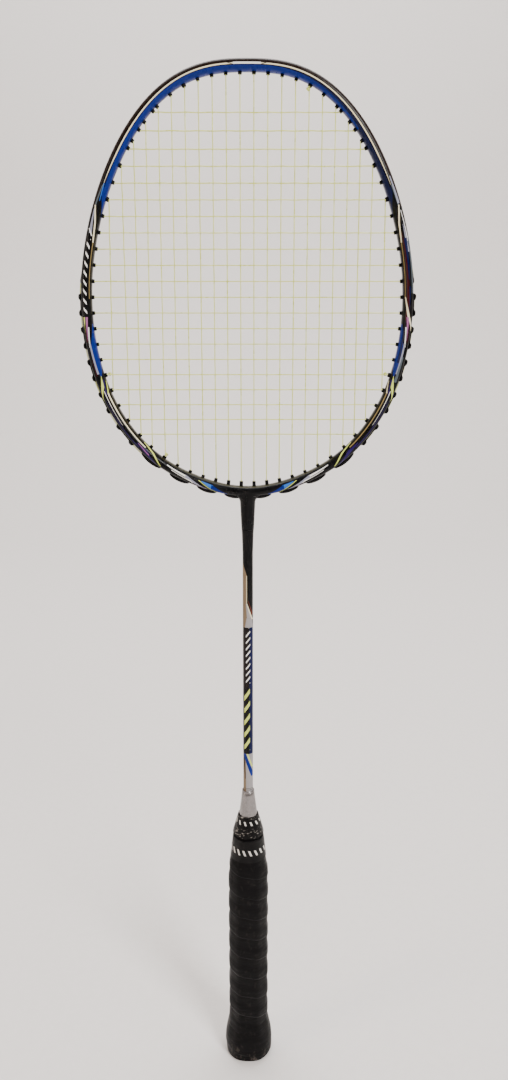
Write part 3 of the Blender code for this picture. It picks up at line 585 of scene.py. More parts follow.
# Paint, side, start and end along the head in mm, place across at start and end, half widths.
HEAD_STREAKS = [
    # The blue inner band over the top, ending in a point on each side. On the right side it is laid in navy,
    # a darker copy of the same cobalt, as painted shade.
    (COBALT, LEFT, -5, 121, 12.0, 12.0, 6.8, 6.9), (NAVY_AND_SHADED_COBALT, RIGHT, -5, 121, 12.0, 12.0, 6.8, 6.9),
    (COBALT, RIGHT, -5, 80, 8.6, 8.6, 3.3, 1.0),
    (COBALT, LEFT, 121, 141, 12.6, 14.0, 7.6, 1.5), (NAVY_AND_SHADED_COBALT, RIGHT, 121, 141, 12.6, 14.0, 7.6, 1.5),
    (BROWN, BOTH, -5, 130, 2.6, 2.4, 1.9, 1.0),
    (BLACK, BOTH, -5, 118, 5.5, 5.5, 0.3, 0.25),
    (CREAM, BOTH, -5, 100, 5.0, 5.0, 0.36, 0.34), (CREAM, BOTH, 100, 117, 5.0, 4.7, 0.34, 0.05),
    (WHITE, BOTH, -5, 8, 4.9, 4.9, 0.5, 0.5), (BLACK, BOTH, 8, 12, 5.5, 4.3, 0.2, 0.2),
    (SKY, LEFT, 116, 126, 4.9, 5.4, 0.25, 0.15), (PEWTER, BOTH, 117, 130, 4.4, 3.7, 0.3, 0.5),
    (SILVER, RIGHT, 112, 128, 3.6, 3.4, 0.3, 0.7),
    # The silver wedge and the second pinstripe, which crosses to the inner edge.
    (SILVER, LEFT, 131, 145, 3.7, 4.4, 0.2, 0.85), (WHITE, RIGHT, 132, 150, 3.3, 2.6, 0.15, 0.4),
    (SILVER, RIGHT, 140, 156, 4.0, 3.6, 0.1, 0.9),
    (CREAM, BOTH, 129, 139, 3.7, 6.1, 0.35, 0.5), (CREAM, BOTH, 139, 150, 6.1, 7.1, 0.5, 0.42),
    (GOLD, BOTH, 150, 183, 7.1, 7.4, 0.3, 0.28), (OLIVE, LEFT, 145, 192, 9.4, 9.4, 0.5, 0.5),
    (WHITE, LEFT, 142.5, 146.5, 3.2, 5.6, 0.35, 0.35),
    # The right-hand panel, dark wine and navy with a pewter streak outside.
    (MAROON, RIGHT, 144, 196, 5.6, 5.2, 0.2, 1.3), (NAVY_AND_SHADED_COBALT, RIGHT, 148, 172, 4.2, 4.6, 0.9, 0.3),
    (PEWTER, RIGHT, 148, 180, 1.8, 2.6, 0.9, 0.35), (NAVY_AND_SHADED_COBALT, RIGHT, 176, 190, 4.2, 4.2, 0.5, 0.1),
    (CREAM, RIGHT, 182, 193, 7.2, 4.6, 0.35, 0.7), (CREAM, RIGHT, 193, 202, 4.6, 1.0, 0.7, 0.3),
    # The pink facet above the second blue.
    (PINK, BOTH, 194, 208, 4.9, 3.9, 0.75, 0.1), (LIME, LEFT, 194, 203, 3.2, 3.0, 0.5, 0.1),
    (MAROON, BOTH, 198, 209, 3.2, 3.2, 0.1, 0.5), (WHITE, BOTH, 200, 212, 5.4, 4.3, 0.35, 0.3),
    # The second blue, with its silver outer line.
    (COBALT, BOTH, 198, 211, 15.5, 13.3, 7.0, 8.0), (COBALT, BOTH, 211, 221, 13.3, 12.8, 8.0, 8.0),
    (COBALT, BOTH, 221, 231.5, 8.6, 6.2, 3.8, 0.1), (NAVY_AND_SHADED_COBALT, RIGHT, 200, 222, 6.8, 6.0, 0.3, 0.9),
    (SILVER, BOTH, 210, 229, 4.7, 5.0, 0.45, 0.6), (MAROON, LEFT, 220, 230, 3.8, 4.0, 0.1, 0.4),
    (PEWTER, RIGHT, 218, 234, 4.1, 4.3, 0.5, 0.9),
    # The lime wedge that crosses to the outer edge, and the long cream stripe below it.
    (VIOLET, BOTH, 233, 243, 7.0, 5.2, 0.7, 0.3), (VIOLET, BOTH, 236, 243, 0.9, 0.4, 0.5, 1.1),
    (LIME, BOTH, 230.5, 237.5, 6.4, 4.7, 0.1, 0.95), (LIME, BOTH, 237.5, 246, 4.7, 0.2, 0.95, 0.3),
    (LIME, LEFT, 234, 242, 9.6, 6.6, 0.45, 0.5), (CREAM, RIGHT, 234, 242, 9.6, 6.6, 0.4, 0.4),
    (CREAM, LEFT, 242, 284, 6.6, 6.3, 0.5, 0.34), (GOLD, RIGHT, 242, 284, 6.6, 6.3, 0.4, 0.34),
    (WHITE, BOTH, 240, 264, 4.7, 4.4, 0.2, 0.05), (OLIVE, BOTH, 238, 286, 9.3, 9.3, 0.8, 0.6),
    (VIOLET, BOTH, 246, 281, 3.4, 3.3, 0.1, 0.3), (LIME, BOTH, 246, 297, 0.1, 0.1, 0.35, 0.25),
    (VIOLET, BOTH, 278, 286, 4.6, 4.4, 0.2, 1.1), (VIOLET, BOTH, 286, 296, 4.4, 1.2, 1.1, 0.4),
    (PINK, LEFT, 279, 289, 5.0, 3.9, 0.15, 0.3),
    (LIME, BOTH, 281, 290, 9.4, 6.9, 0.5, 0.6), (LIME, BOTH, 290, 299, 6.9, 2.6, 0.6, 0.25),
    # The silver pair, the blue facet and the olive inner wall beside the neck.
    (WHITE, BOTH, 302, 316, 6.0, 5.2, 0.3, 0.6), (SILVER, BOTH, 316, 332, 5.2, 1.0, 0.9, 0.5),
    (WHITE, BOTH, 306, 320, 4.6, 3.6, 0.15, 0.3), (WHITE, BOTH, 320, 324, 3.6, 2.0, 0.3, 0.05),
    (MAROON, BOTH, 322, 334, 2.6, 0.4, 0.2, 0.5),
    (LIME, BOTH, 325, 338, 6.0, 1.1, 0.22, 0.16),
    (SKY, BOTH, 327, 335, 6.0, 4.2, 0.2, 1.5), (COBALT, BOTH, 334, 345, 4.2, 1.2, 1.6, 0.5),
    (OLIVE, BOTH, 296, 361, 10.2, 10.2, 2.0, 2.6),
]

# %% [markdown]
# ## Lacquer
# Over the streaks goes a clear coat. What tells a real frame from a plastic one is small: a faint
# orange peel in the gloss, carbon fibre that shows through thin black, hair scratches, and chips on
# the outer rim where the head has met the floor.

# %% Head lacquer
PAINT_SHINE = dict(Specular_IOR_Level=0.1, Coat_Weight=0.05, Coat_Roughness=0.08)
lacquer = Finish("frame_lacquer_streaked", BLACK, 0.3, **PAINT_SHINE)
along, across, flank = lacquer.split(lacquer.place("lay"))
sprayed = spray(lacquer, BLACK, along, across, flank, HEAD_STREAKS)
# Slanted bars in the left-hand panel.
slant = lacquer.math("ADD", along, lacquer.math("MULTIPLY", across, -1.3))
bars = lacquer.math("LESS_THAN", lacquer.math("FRACT", lacquer.math("DIVIDE", slant, 5.4)), 0.3)
inside = lacquer.math("LESS_THAN", lacquer.math("ABSOLUTE", lacquer.math("SUBTRACT", across, 4.4)), 1.0)
panel = lacquer.math("LESS_THAN", lacquer.math("ABSOLUTE", lacquer.math("SUBTRACT", along, 171.0)), 22.5)
left_only = lacquer.math("LESS_THAN", flank, 0.0)
left_panel = lacquer.math("MULTIPLY", panel, left_only)
bars = lacquer.math("MULTIPLY", lacquer.math("MULTIPLY", bars, inside), left_panel)
sprayed = lacquer.mix(bars, sprayed, WHITE)
peel = lacquer.noise(900.0, 2.0)
mottle = lacquer.noise(60.0, 4.0)
sprayed = lacquer.mix(lacquer.ramp(mottle, 0.4, 0.7, 0.0, 0.1), sprayed, tone(34, 34, 38))
chip_noise = lacquer.noise(420.0, 3.0)
at_rim = lacquer.ramp(lacquer.math("ABSOLUTE", lacquer.math("SUBTRACT", across, 0.3)), 0.2, 1.0, 1.0, 0.0)
chips = lacquer.math("GREATER_THAN", lacquer.math("MULTIPLY", chip_noise, at_rim), 0.61)
sprayed = lacquer.mix(chips, sprayed, tone(128, 122, 116))
lacquer.set("Base Color", sprayed)
lacquer.set("Roughness", lacquer.ramp(lacquer.noise(220.0, 5.0, (1, 1, 0.3)), 0.3, 0.75, 0.2, 0.42))
lacquer.bump(peel, 0.12, 0.0002)
lacquer.bump(lacquer.ramp(chips, 0.0, 1.0, 1.0, 0.0), 0.4, 0.0002)
head.data.materials.clear()
finish_piece(head, lacquer, "head_frame")

# %% [markdown]
# ## The lacing plan
# The strings decide where the grommets go. Mains run up and down at an even pitch, crosses run
# side to side, and a hole is drilled where each line meets the tube. A few holes near the corners
# are shared by two strings, and the strings' ends are tied off beside a string that is already
# there.

# %% Holes
MAIN_PITCH, MAINS_PER_SIDE, UPPER_MAINS, TOP_MAINS, LOW_MAINS = 0.008, 11, 9, 7, 8
CROSS_TOP, CROSS_PITCH, CROSS_SPREAD, CROSSES = 0.6477, 0.00915, 0.0006, 21
BARREL_REACH = 0.0022
TIP_OUT = -(FRAME_WIDTH + BARREL_REACH)


def cross_height(number):
    return CROSS_TOP - CROSS_PITCH * (number - 1) - CROSS_SPREAD * min(number - 1, 2)


def hole_for(axis, value, low, high):
    """The run along the right-hand side where a barrel's tip has this x (0) or z (2)."""
    runs = np.linspace(low, high, 4000)
    turn = turn_at(runs)
    tips = on_frame(turn, np.full(len(runs), TIP_OUT), 0.0)[:, axis]
    return float(runs[np.abs(tips - value).argmin()])


HALF_ROUND = ROUND / 2
HOLES = {}
for main in range(1, UPPER_MAINS + 1):
    steps = main - 0.5
    HOLES[f"top_{main}"] = hole_for(0, MAIN_PITCH * steps * (1 - 0.00045 * steps * steps), 0, 0.125)
for cross in range(1, CROSSES + 1):
    HOLES[f"cross_{cross}"] = hole_for(2, cross_height(cross), 0.03, 0.33)
for main in range(1, LOW_MAINS + 1):
    HOLES[f"low_{main}"] = hole_for(0, MAIN_PITCH * (main - 0.5), 0.25, HALF_ROUND)
HOLES = dict(sorted(HOLES.items(), key=lambda item: item[1]))
SHARED_TOPS = {10: "cross_4", 11: "cross_6"}
SHARED_LOWS = {9: "cross_21", 10: "cross_20", 11: "cross_18"}
TAIL_HOLES = {"main": "cross_17", "cross_start": "top_5", "cross_end": "low_7"}
SHARED = {*SHARED_TOPS.values(), *SHARED_LOWS.values(), *TAIL_HOLES.values()}


def hole_run(name, side):
    return HOLES[name] if side > 0 else ROUND - HOLES[name]


print(len(HOLES), "holes on each side")

# %% [markdown]
# ## Grommets
# A grommet is a soft nylon tube with a flange. Its barrel keeps the string off the drilled carbon,
# and its flange lies along the outside under the string. Round the top they are moulded on long
# thin strips that lie in the groove. Lower down they come in pairs whose flanges stand proud, with
# a low wall on each side of the string. One barrel is modelled with a rounded, belled mouth and a
# bore, flat flanges are modelled straight, and both are then bent on to the outline.


# %% Bend a straight piece on to the outline
def wrap(points, run):
    """x is distance along the edge from run, y is depth, z is distance out of the edge."""
    points = np.asarray(points)
    turn = turn_at(run + points[:, 0])
    return on_frame(turn, points[:, 2], points[:, 1])


def new_copy(source, name):
    piece = source.copy()
    piece.data = source.data.copy()
    piece.name = name
    bpy.context.scene.collection.objects.link(piece)
    return piece


# %% One barrel of each size
def make_barrel(name, radius, bore):
    tip = TIP_OUT
    wall = (
        (radius + 0.0003, 0.0000), (radius, -0.0006), (radius, tip + 0.0005),
        (radius - 0.00012, tip + 0.00014), (radius - 0.0004, tip), (bore + 0.00012, tip + 0.0001),
        (bore, tip + 0.0005), (bore, -0.0004), (bore + 0.0002, 0.0000),
    )
    return draw_up(name, wall, sides=14, closed=True)


plain_barrel = make_barrel("barrel_plain", 0.00125, 0.00042)
shared_barrel = make_barrel("barrel_shared", 0.0015, 0.0009)

# %% Nylon
nylon = Finish("grommet_nylon_moulded", tone(4, 4, 5), 0.42, Specular_IOR_Level=0.1)
nylon_grain = nylon.noise(1600.0, 3.0)
nylon_scuff = nylon.noise(260.0, 5.0)
nylon.set("Base Color", nylon.mix(nylon.ramp(nylon_scuff, 0.55, 0.75), tone(5, 5, 6), tone(26, 25, 24)))
nylon.set("Roughness", nylon.ramp(nylon_scuff, 0.3, 0.7, 0.32, 0.6))
nylon.bump(nylon_grain, 0.2, 0.0001)


# %% A strip or a pair: flange, side walls and barrels as one piece
def band_floor(turn):
    return swell(turn) - groove(turn) + 0.0003


def make_band(name, holes):
    runs = sorted(hole_run(hole, side) for hole, side in holes)
    start, end = runs[0] - 0.0017, runs[-1] + 0.0017
    if end - start > ROUND / 2:
        runs = sorted((run + ROUND / 2) % ROUND - ROUND / 2 for run in runs)
        start, end = runs[0] - 0.0017, runs[-1] + 0.0017
    length = end - start
    lower = "double" in name
    deep = 0.00175 if lower else 0.0015
    columns = max(12, round(length / 0.0005))
    deselect()
    bpy.ops.mesh.primitive_grid_add(x_subdivisions=columns, y_subdivisions=10, size=1.0)
    band = bpy.context.object
    band.name = name.replace("grommet", "nylon")
    flat = points_of(band)
    x = (flat[:, 0] + 0.5) * length
    y = flat[:, 1] * 2
    ends = np.minimum(x, length - x)
    round_off = np.sqrt(np.clip(1 - (1 - np.clip(ends / 0.0013, 0, 1)) ** 2, 0, 1))
    depth = y * deep * (0.35 + 0.65 * round_off)
    wall = np.clip((np.abs(y) - 0.62) / 0.16, 0, 1) * np.clip((1.02 - np.abs(y)) / 0.1, 0, 1)
    gap = np.min([np.abs(start + x - run) for run in runs], axis=0)
    if not lower:
        rise = 0.00012 + 0.00022 * np.exp(-((gap / 0.0016) ** 2))
    elif "low" in holes[0][0] and len(runs) > 1:
        rise = 0.0013 * np.sin(np.pi * np.clip(x / length, 0, 1)) ** 0.7
    else:
        rise = 0.00008 + 0.00105 * np.exp(-((gap / 0.0017) ** 4))
    turn = turn_at(start + x)
    height = band_floor(turn) + 0.0005 + rise * wall
    place(band, on_frame(turn, height, depth))
    thick = band.modifiers.new("thickness", "SOLIDIFY")
    thick.thickness, thick.offset = 0.0005, 1.0
    bpy.ops.object.modifier_apply(modifier=thick.name)
    pieces = [band]
    for hole, side in holes:
        barrel = new_copy(shared_barrel if hole in SHARED else plain_barrel, "barrel")
        run = hole_run(hole, side)
        points = points_of(barrel)
        top = float(band_floor(turn_at(run))) + 0.0004
        points[:, 2] = np.where(points[:, 2] > -0.001, points[:, 2] + top, points[:, 2])
        place(barrel, wrap(points, run))
        pieces.append(barrel)
    deselect()
    for piece in pieces:
        piece.select_set(True)
    bpy.context.view_layer.objects.active = band
    bpy.ops.object.join()
    face_out(band)
    smooth(band, 40)
    band.data.materials.clear()
    finish_piece(band, nylon, name)
    return band


names = list(HOLES)
first_low = names.index("cross_12")
plan = {"grommet_strip_top": [(n, s) for s in (-1, 1) for n in names[:TOP_MAINS]]}
for side, word in ((-1, "left"), (1, "right")):
    plan[f"grommet_strip_{word}"] = [(n, side) for n in names[TOP_MAINS:first_low]]
    low = names[first_low:]
    for number in range(len(low) // 2):
        plan[f"double_grommet_{word}_{number + 1}"] = [
            (n, side) for n in low[2 * number:2 * number + 2]]
for name, holes in plan.items():
    make_band(name, holes)
for source in (plain_barrel, shared_barrel):
    bpy.data.objects.remove(source, do_unlink=True)
print(len(plan), "grommet pieces")

# %% [markdown]
# ## Strings
# The strings are what makes a racket look real: thin, translucent and truly woven. Each is one
# length that is laced to and fro, so each is one curve. Where a main and a cross meet, both bend
# out of the way by a little more than a string's radius. Outside the frame the mains keep to one
# side of the groove and the crosses to the other. Every end is tied in an overhand knot.

# %% Path helpers
STRING = 0.00035
BEND = 0.0004
LANE, LANE_START, BESIDE = 0.0008, 0.0022, 0.00045
SUBSTEPS = 4


def string_out(turn):
    return band_floor(turn) + 0.0006 + STRING


def tip(name, side, depth=0.0):
    turn = turn_at(hole_run(name, side))
    return Vector(on_frame(turn, TIP_OUT, depth))


def outer(name, side, depth=0.0):
    turn = turn_at(hole_run(name, side))
    return Vector(on_frame(turn, string_out(turn), depth))


def round_the_frame(first, second, lane):
    """The run outside the frame between two holes given as runs along the edge."""
    if abs(second - first) > ROUND / 2:
        second += math.copysign(ROUND, first - second)
    way = math.copysign(LANE_START, second - first)
    count = max(3, math.ceil(abs(second - first) / 0.0015))
    runs = np.linspace(first + way, second - way, count)
    turn = turn_at(runs)
    return [Vector(p) for p in on_frame(turn, string_out(turn), np.full(count, lane))]


def weave(start, stops, signs, end):
    """Points from start to end that pass each stop on the side its sign says."""
    marks = [(start, 0)] + list(zip(stops, signs)) + [(end, 0)]
    points = []
    for (first, bend), (second, next_bend) in zip(marks, marks[1:]):
        for i in range(SUBSTEPS):
            share = i / SUBSTEPS
            point = first.lerp(second, share)
            eased = 0.5 - 0.5 * math.cos(math.pi * share)
            point.y += BEND * (bend + (next_bend - bend) * eased)
            points.append(point)
    return points + [end.copy()]


def overhand(centre, inward, side_way):
    """An overhand knot drawn tight, and its short cut end."""
    across = inward.cross(side_way).normalized()
    points = []
    for i in range(19):
        t = 0.55 + i * (2 * math.pi - 0.9) / 18
        x, y = math.sin(t) + 2 * math.sin(2 * t), math.cos(t) - 2 * math.cos(2 * t)
        z = -math.sin(3 * t)
        points.append(centre + 0.00036 * (x * across + y * inward + 1.3 * z * side_way))
    last = points[-1] + inward * 0.0016 + across * 0.0006
    return points + [points[-1].lerp(last, 0.5), last]


# %% The mains
def main_side(column):
    if column < MAINS_PER_SIDE:
        return -1, MAINS_PER_SIDE - column
    return 1, column - MAINS_PER_SIDE + 1


def main_hole(number, upper):
    shared = SHARED_TOPS if upper else SHARED_LOWS
    if number in shared:
        return shared[number], BESIDE
    name = f"top_{number}" if upper else f"low_{number}"
    return name, BESIDE if name in SHARED else 0.0


def tail(first, name, side, lane, depth):
    points = round_the_frame(first, hole_run(name, side), lane)
    inward = Vector(-outward(turn_at(hole_run(name, side))))
    end = tip(name, side, depth)
    lean = Vector((0, math.copysign(1, depth), 0))
    knot = end + inward * 0.0012 + lean * 0.0005
    return points + [outer(name, side, depth), end] + overhand(knot, inward, lean)


def main_line():
    points = []
    columns = 2 * MAINS_PER_SIDE
    for column in range(columns):
        side, number = main_side(column)
        (top_name, top_depth), (low_name, low_depth) = main_hole(number, True), main_hole(number, False)
        top, low = tip(top_name, side, top_depth), tip(low_name, side, low_depth)
        met = [c for c in range(1, CROSSES + 1) if low.z + 0.002 < cross_height(c) < top.z - 0.002]
        stops = [top.lerp(low, (top.z - cross_height(c)) / (top.z - low.z)) for c in met]
        for stop in stops:
            stop.y = 0.0
        signs = [1 if (column + c) % 2 else -1 for c in met]
        run = weave(top, stops, signs, low)
        run = [outer(top_name, side, top_depth)] + run + [outer(low_name, side, low_depth)]
        downward = column % 2 == 1
        points += run if downward else run[::-1]
        if column < columns - 1:
            next_side, next_number = main_side(column + 1)
            name, next_name = (
                (low_name, main_hole(next_number, False)[0]) if downward
                else (top_name, main_hole(next_number, True)[0]))
            points += round_the_frame(hole_run(name, side), hole_run(next_name, next_side), LANE)
    first = SHARED_LOWS[MAINS_PER_SIDE]
    left = tail(hole_run(first, -1), TAIL_HOLES["main"], -1, LANE, BESIDE)
    right = tail(hole_run(first, 1), TAIL_HOLES["main"], 1, LANE, BESIDE)
    return left[::-1] + points + right


# %% The crosses
def cross_line():
    points = []
    for number in range(1, CROSSES + 1):
        name = f"cross_{number}"
        depth = -BESIDE if name in SHARED else 0.0
        start = 1 if number % 2 else -1
        first, last = tip(name, start, depth), tip(name, -start, depth)
        stops, signs = [], []
        order = range(2 * MAINS_PER_SIDE) if start < 0 else range(2 * MAINS_PER_SIDE - 1, -1, -1)
        for column in order:
            side, main = main_side(column)
            top, low = tip(main_hole(main, True)[0], side), tip(main_hole(main, False)[0], side)
            height = cross_height(number)
            if not low.z + 0.002 < height < top.z - 0.002:
                continue
            meet = top.lerp(low, (top.z - height) / (top.z - low.z))
            stops.append(Vector((meet.x, 0, height)))
            signs.append(-1 if (column + number) % 2 else 1)
        points += [outer(name, start, depth)] + weave(first, stops, signs, last)
        points.append(outer(name, -start, depth))
        if number < CROSSES:
            points += round_the_frame(
                hole_run(name, -start), hole_run(f"cross_{number + 1}", -start), -LANE)
    head_end = tail(hole_run("cross_1", 1), TAIL_HOLES["cross_start"], 1, -LANE, -BESIDE)
    foot_end = tail(hole_run(f"cross_{CROSSES}", -1), TAIL_HOLES["cross_end"], -1, -LANE, -BESIDE)
    return head_end[::-1] + points + foot_end


# %% String finish
gut = Finish(
    "string_nylon_clear", tone(226, 232, 110), 0.3, Transmission_Weight=0.2, IOR=1.53,
    Coat_Weight=0.2, Coat_Roughness=0.15)
gut_tint = gut.noise(120.0, 3.0)
gut_fibre = gut.noise(2500.0, 2.0)
gut.set("Base Color", gut.mix(gut.ramp(gut_tint, 0.3, 0.7), tone(222, 230, 96), tone(238, 240, 150)))
gut.set("Roughness", gut.ramp(gut_tint, 0.3, 0.7, 0.25, 0.4))
gut.bump(gut_fibre, 0.25, 0.00008)


# %% Draw each string as a round curve and make it a mesh
def draw_string(name, points, node):
    deselect()
    curve = bpy.data.curves.new(name, "CURVE")
    curve.dimensions = "3D"
    curve.bevel_depth, curve.bevel_resolution, curve.use_fill_caps = STRING, 1, True
    spline = curve.splines.new("POLY")
    spline.points.add(len(points) - 1)
    for mark, point in zip(spline.points, points):
        mark.co = (*point, 1.0)
    piece = bpy.data.objects.new(name, curve)
    bpy.context.scene.collection.objects.link(piece)
    piece.select_set(True)
    bpy.context.view_layer.objects.active = piece
    bpy.ops.object.convert(target="MESH")
    face_out(piece)
    smooth(piece, 60)
    piece.data.materials.clear()
    finish_piece(piece, gut, node)
    print(name, len(points), "points,", len(piece.data.polygons), "faces")


draw_string("laced_mains", main_line(), "main_string")
draw_string("laced_crosses", cross_line(), "cross_string")

# %% [markdown]
# ## Shaft
# The shaft is a carbon tube, glued into the neck above and into the wooden handle below. Its paint
# is laid on in the same way as the head's: the height is the way along, and x is the way across.

# %% Shaft tube
SHAFT, BORE = 0.0034, 0.0025
low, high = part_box("shaft")
shaft = draw_up(
    "painted_shaft",
    [(SHAFT, low.z), (SHAFT, 0.2), (SHAFT, 0.3), (SHAFT, 0.386), (0.00355, 0.392), (0.0038, 0.3995),
     (0.00397, 0.4023), (SHAFT, 0.4023), (SHAFT, high.z), (BORE, high.z),
     (BORE, 0.3), (BORE, low.z)],
    sides=40, closed=True,
)
smooth(shaft)

# Paint, side, start and end in height in mm, place across at start and end in mm, half widths.
# This taupe is a painted dark brown reflection that shades the shaft's left side (negative x). It is not a
# paint of the shaft.
PAINTED_REFLECTION_TAUPE = tone(122, 104, 82)
SATIN = tone(150, 146, 146)
ORANGE = tone(88, 36, 22)
SHAFT_STREAKS = [
    # From 336 to 381 mm the left side is painted taupe, with a brown line along its far edge: a painted
    # reflection that shades that side.
    (PAINTED_REFLECTION_TAUPE, BOTH, 336, 372, -2.9, -2.9, 2.2, 2.2), (BROWN, BOTH, 336, 378, -3.9, -3.9, 0.75, 0.6),
    (PAINTED_REFLECTION_TAUPE, BOTH, 372, 381, -2.9, -4.4, 2.2, 0.9),
    (SATIN, BOTH, 336, 343, 0.6, 0.9, 2.6, 1.8), (SATIN, BOTH, 343, 353, 0.9, -1.0, 1.5, 0.3),
    (CREAM, BOTH, 353, 372, -0.75, -0.75, 0.16, 0.16), (CREAM, BOTH, 342, 353, 2.9, -0.7, 0.35, 0.3),
    (ORANGE, BOTH, 345, 355, 3.1, 0.2, 0.5, 0.15),
    (tone(22, 16, 15), BOTH, 294, 336.5, -2.0, -2.0, 2.4, 2.4),
    (NAVY_AND_SHADED_COBALT, BOTH, 244, 336.5, 2.2, 2.2, 1.4, 1.2),
    (SATIN, BOTH, 150, 245, 0.0, 0.0, 6.0, 6.0),
    # The taupe on the left of the silver part is a painted reflection that shades that side.
    (PAINTED_REFLECTION_TAUPE, BOTH, 150, 245, -2.9, -3.1, 1.5, 1.6), (BROWN, BOTH, 226, 245, -1.9, -2.9, 0.2, 0.5),
    (COBALT, BOTH, 228, 245, 3.3, -2.5, 1.2, 1.1), (LIME, BOTH, 235, 245, 2.9, -0.5, 0.4, 0.5),
    (BROWN, BOTH, 218.6, 218.9, 0, 0, 6, 6), (BROWN, BOTH, 217.5, 217.8, 0, 0, 6, 6),
]
shaft_paint = Finish("shaft_lacquer_streaked", BLACK, 0.28, **PAINT_SHINE)
shaft_x, _, shaft_z = shaft_paint.split(shaft_paint.place())
height = shaft_paint.math("MULTIPLY", shaft_z, 1000.0)
sideways = shaft_paint.math("MULTIPLY", shaft_x, 1000.0)
coat = spray(shaft_paint, BLACK, height, sideways, 0.0, SHAFT_STREAKS)


def slanted_bars(finish, height, sideways, color, paint, low, high, pitch, slope, duty, centre, half):
    """A generic row of slanted bars between two heights."""
    slanted = finish.math("ADD", height, finish.math("MULTIPLY", sideways, slope))
    bar = finish.math("LESS_THAN", finish.math("FRACT", finish.math("DIVIDE", slanted, pitch)), duty)
    near = finish.math("SUBTRACT", finish.math("ABSOLUTE", finish.math("SUBTRACT", sideways, centre)), half)
    near = finish.ramp(near, -0.05, 0.05, 1.0, 0.0)
    middle = finish.math("ABSOLUTE", finish.math("SUBTRACT", height, (low + high) / 2))
    bar = finish.math("MULTIPLY", bar, finish.math("LESS_THAN", middle, (high - low) / 2))
    return finish.mix(finish.math("MULTIPLY", bar, near), color, paint)


coat = slanted_bars(shaft_paint, height, sideways, coat, WHITE, 297, 334, 4.6, -1.3, 0.3, 0.1, 1.4)
coat = slanted_bars(shaft_paint, height, sideways, coat, LIME, 248, 293, 9.0, -1.6, 0.38, -0.6, 1.9)
shaft_mottle = shaft_paint.noise(90.0, 4.0)
coat = shaft_paint.mix(shaft_paint.ramp(shaft_mottle, 0.4, 0.7, 0.0, 0.08), coat, tone(50, 48, 46))
shaft_paint.set("Base Color", coat)
brushed = shaft_paint.noise(300.0, 4.0, (1, 1, 0.1))
shaft_paint.set("Roughness", shaft_paint.ramp(brushed, 0.3, 0.7, 0.18, 0.36))
shaft_paint.bump(shaft_paint.noise(900.0, 2.0), 0.1, 0.0002)
finish_piece(shaft, shaft_paint, "shaft")

# %% [markdown]
# ## Cone
# The cone hides the joint between shaft and handle. It is a thin plastic moulding with a satin
# metallic paint, a fine lip at each end and two turned lines near the top.

# %% Cone
low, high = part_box("cone")
cone = draw_up(
    "satin_cone",
    [(0.0066, low.z), (0.0069, low.z + 0.0002), (0.0069, 0.1942), (0.0068, 0.1948), (0.00632, 0.1985),
     (0.0055, 0.2052), (0.0046, 0.2124), (0.00432, 0.2148), (0.00418, 0.2150), (0.00418, 0.2153),
     (0.00430, 0.2155), (0.00428, 0.2159), (0.00415, 0.2160), (0.00415, 0.2162), (0.00422, 0.2163),
     (0.00405, high.z), (0.0037, high.z), (0.0037, 0.2007), (0.0059, 0.1998), (0.0059, low.z)],
    sides=56, closed=True,
)
smooth(cone, 30)
satin = Finish("cone_paint_satin", tone(150, 148, 150), 0.3, Metallic=0.95)
flake = satin.cells(2600.0)
satin.set("Base Color", satin.mix(satin.ramp(flake, 0.1, 0.6), tone(156, 154, 156), tone(126, 122, 120)))
satin.set("Roughness", satin.ramp(satin.noise(400.0, 5.0, (1, 1, 0.2)), 0.3, 0.7, 0.2, 0.34))
satin.bump(flake, 0.05, 0.0001)
finish_piece(cone, satin, "cone")

# %% [markdown]
# ## The handle's profile
# Under the grip is an octagonal wooden handle that flares at the butt and turns round towards the
# cone. Everything wound on it follows one radius function of height and direction. A sum of high
# powers gives an octagon whose corners are slightly rounded, as wrapped corners are.

# %% Radius of the handle
GRIP_HEIGHTS = (0.0, 0.003, 0.012, 0.017, 0.023, 0.030, 0.150, 0.158, 0.168, 0.180, 0.1865, 0.1915)
GRIP_WIDTHS = (
    0.0166, 0.0172, 0.0173, 0.0166, 0.0151, 0.0142, 0.0141, 0.0136, 0.0118, 0.0106, 0.0094, 0.0084)
FLATNESS = 0.90


def grip_width(height):
    """The profile's half width, eased at its corners by averaging over a few millimetres."""
    shifts = (-0.002, -0.001, 0.0, 0.001, 0.002)
    return sum(np.interp(height + s, GRIP_HEIGHTS, GRIP_WIDTHS) for s in shifts) / len(shifts)


def grip_radius(angle, height, inset=0.0):
    full = grip_width(height)
    round_share = np.clip((height - 0.150) / 0.040, 0, 1)
    ratio = FLATNESS + (1 - FLATNESS) * round_share
    width = full - inset
    deep = full * ratio - inset
    chamfer = (width + deep - 0.56 * deep) / math.sqrt(2)
    power = 9 + 5 * np.clip((height - 0.012) / 0.012, 0, 1)
    total = 0
    for face in range(8):
        reach = (width, chamfer, deep, chamfer)[face % 4]
        total = total + (np.clip(np.cos(angle - face * math.pi / 4), 0, 1) / reach) ** power
    octagon = total ** (-1 / power)
    return octagon * (1 - round_share) + width * round_share


# %% [markdown]
# ## Overgrip
# An overgrip is one long strip of soft film, wound from the butt upwards with each turn lapping
# over the last. It is modelled as that strip: a long grid, one direction along the winding and one
# across the strip, is placed round the handle, and where it lies on the turn below it is lifted by
# its own thickness. The first turn lies level round the butt. Small wrinkles come from noise.

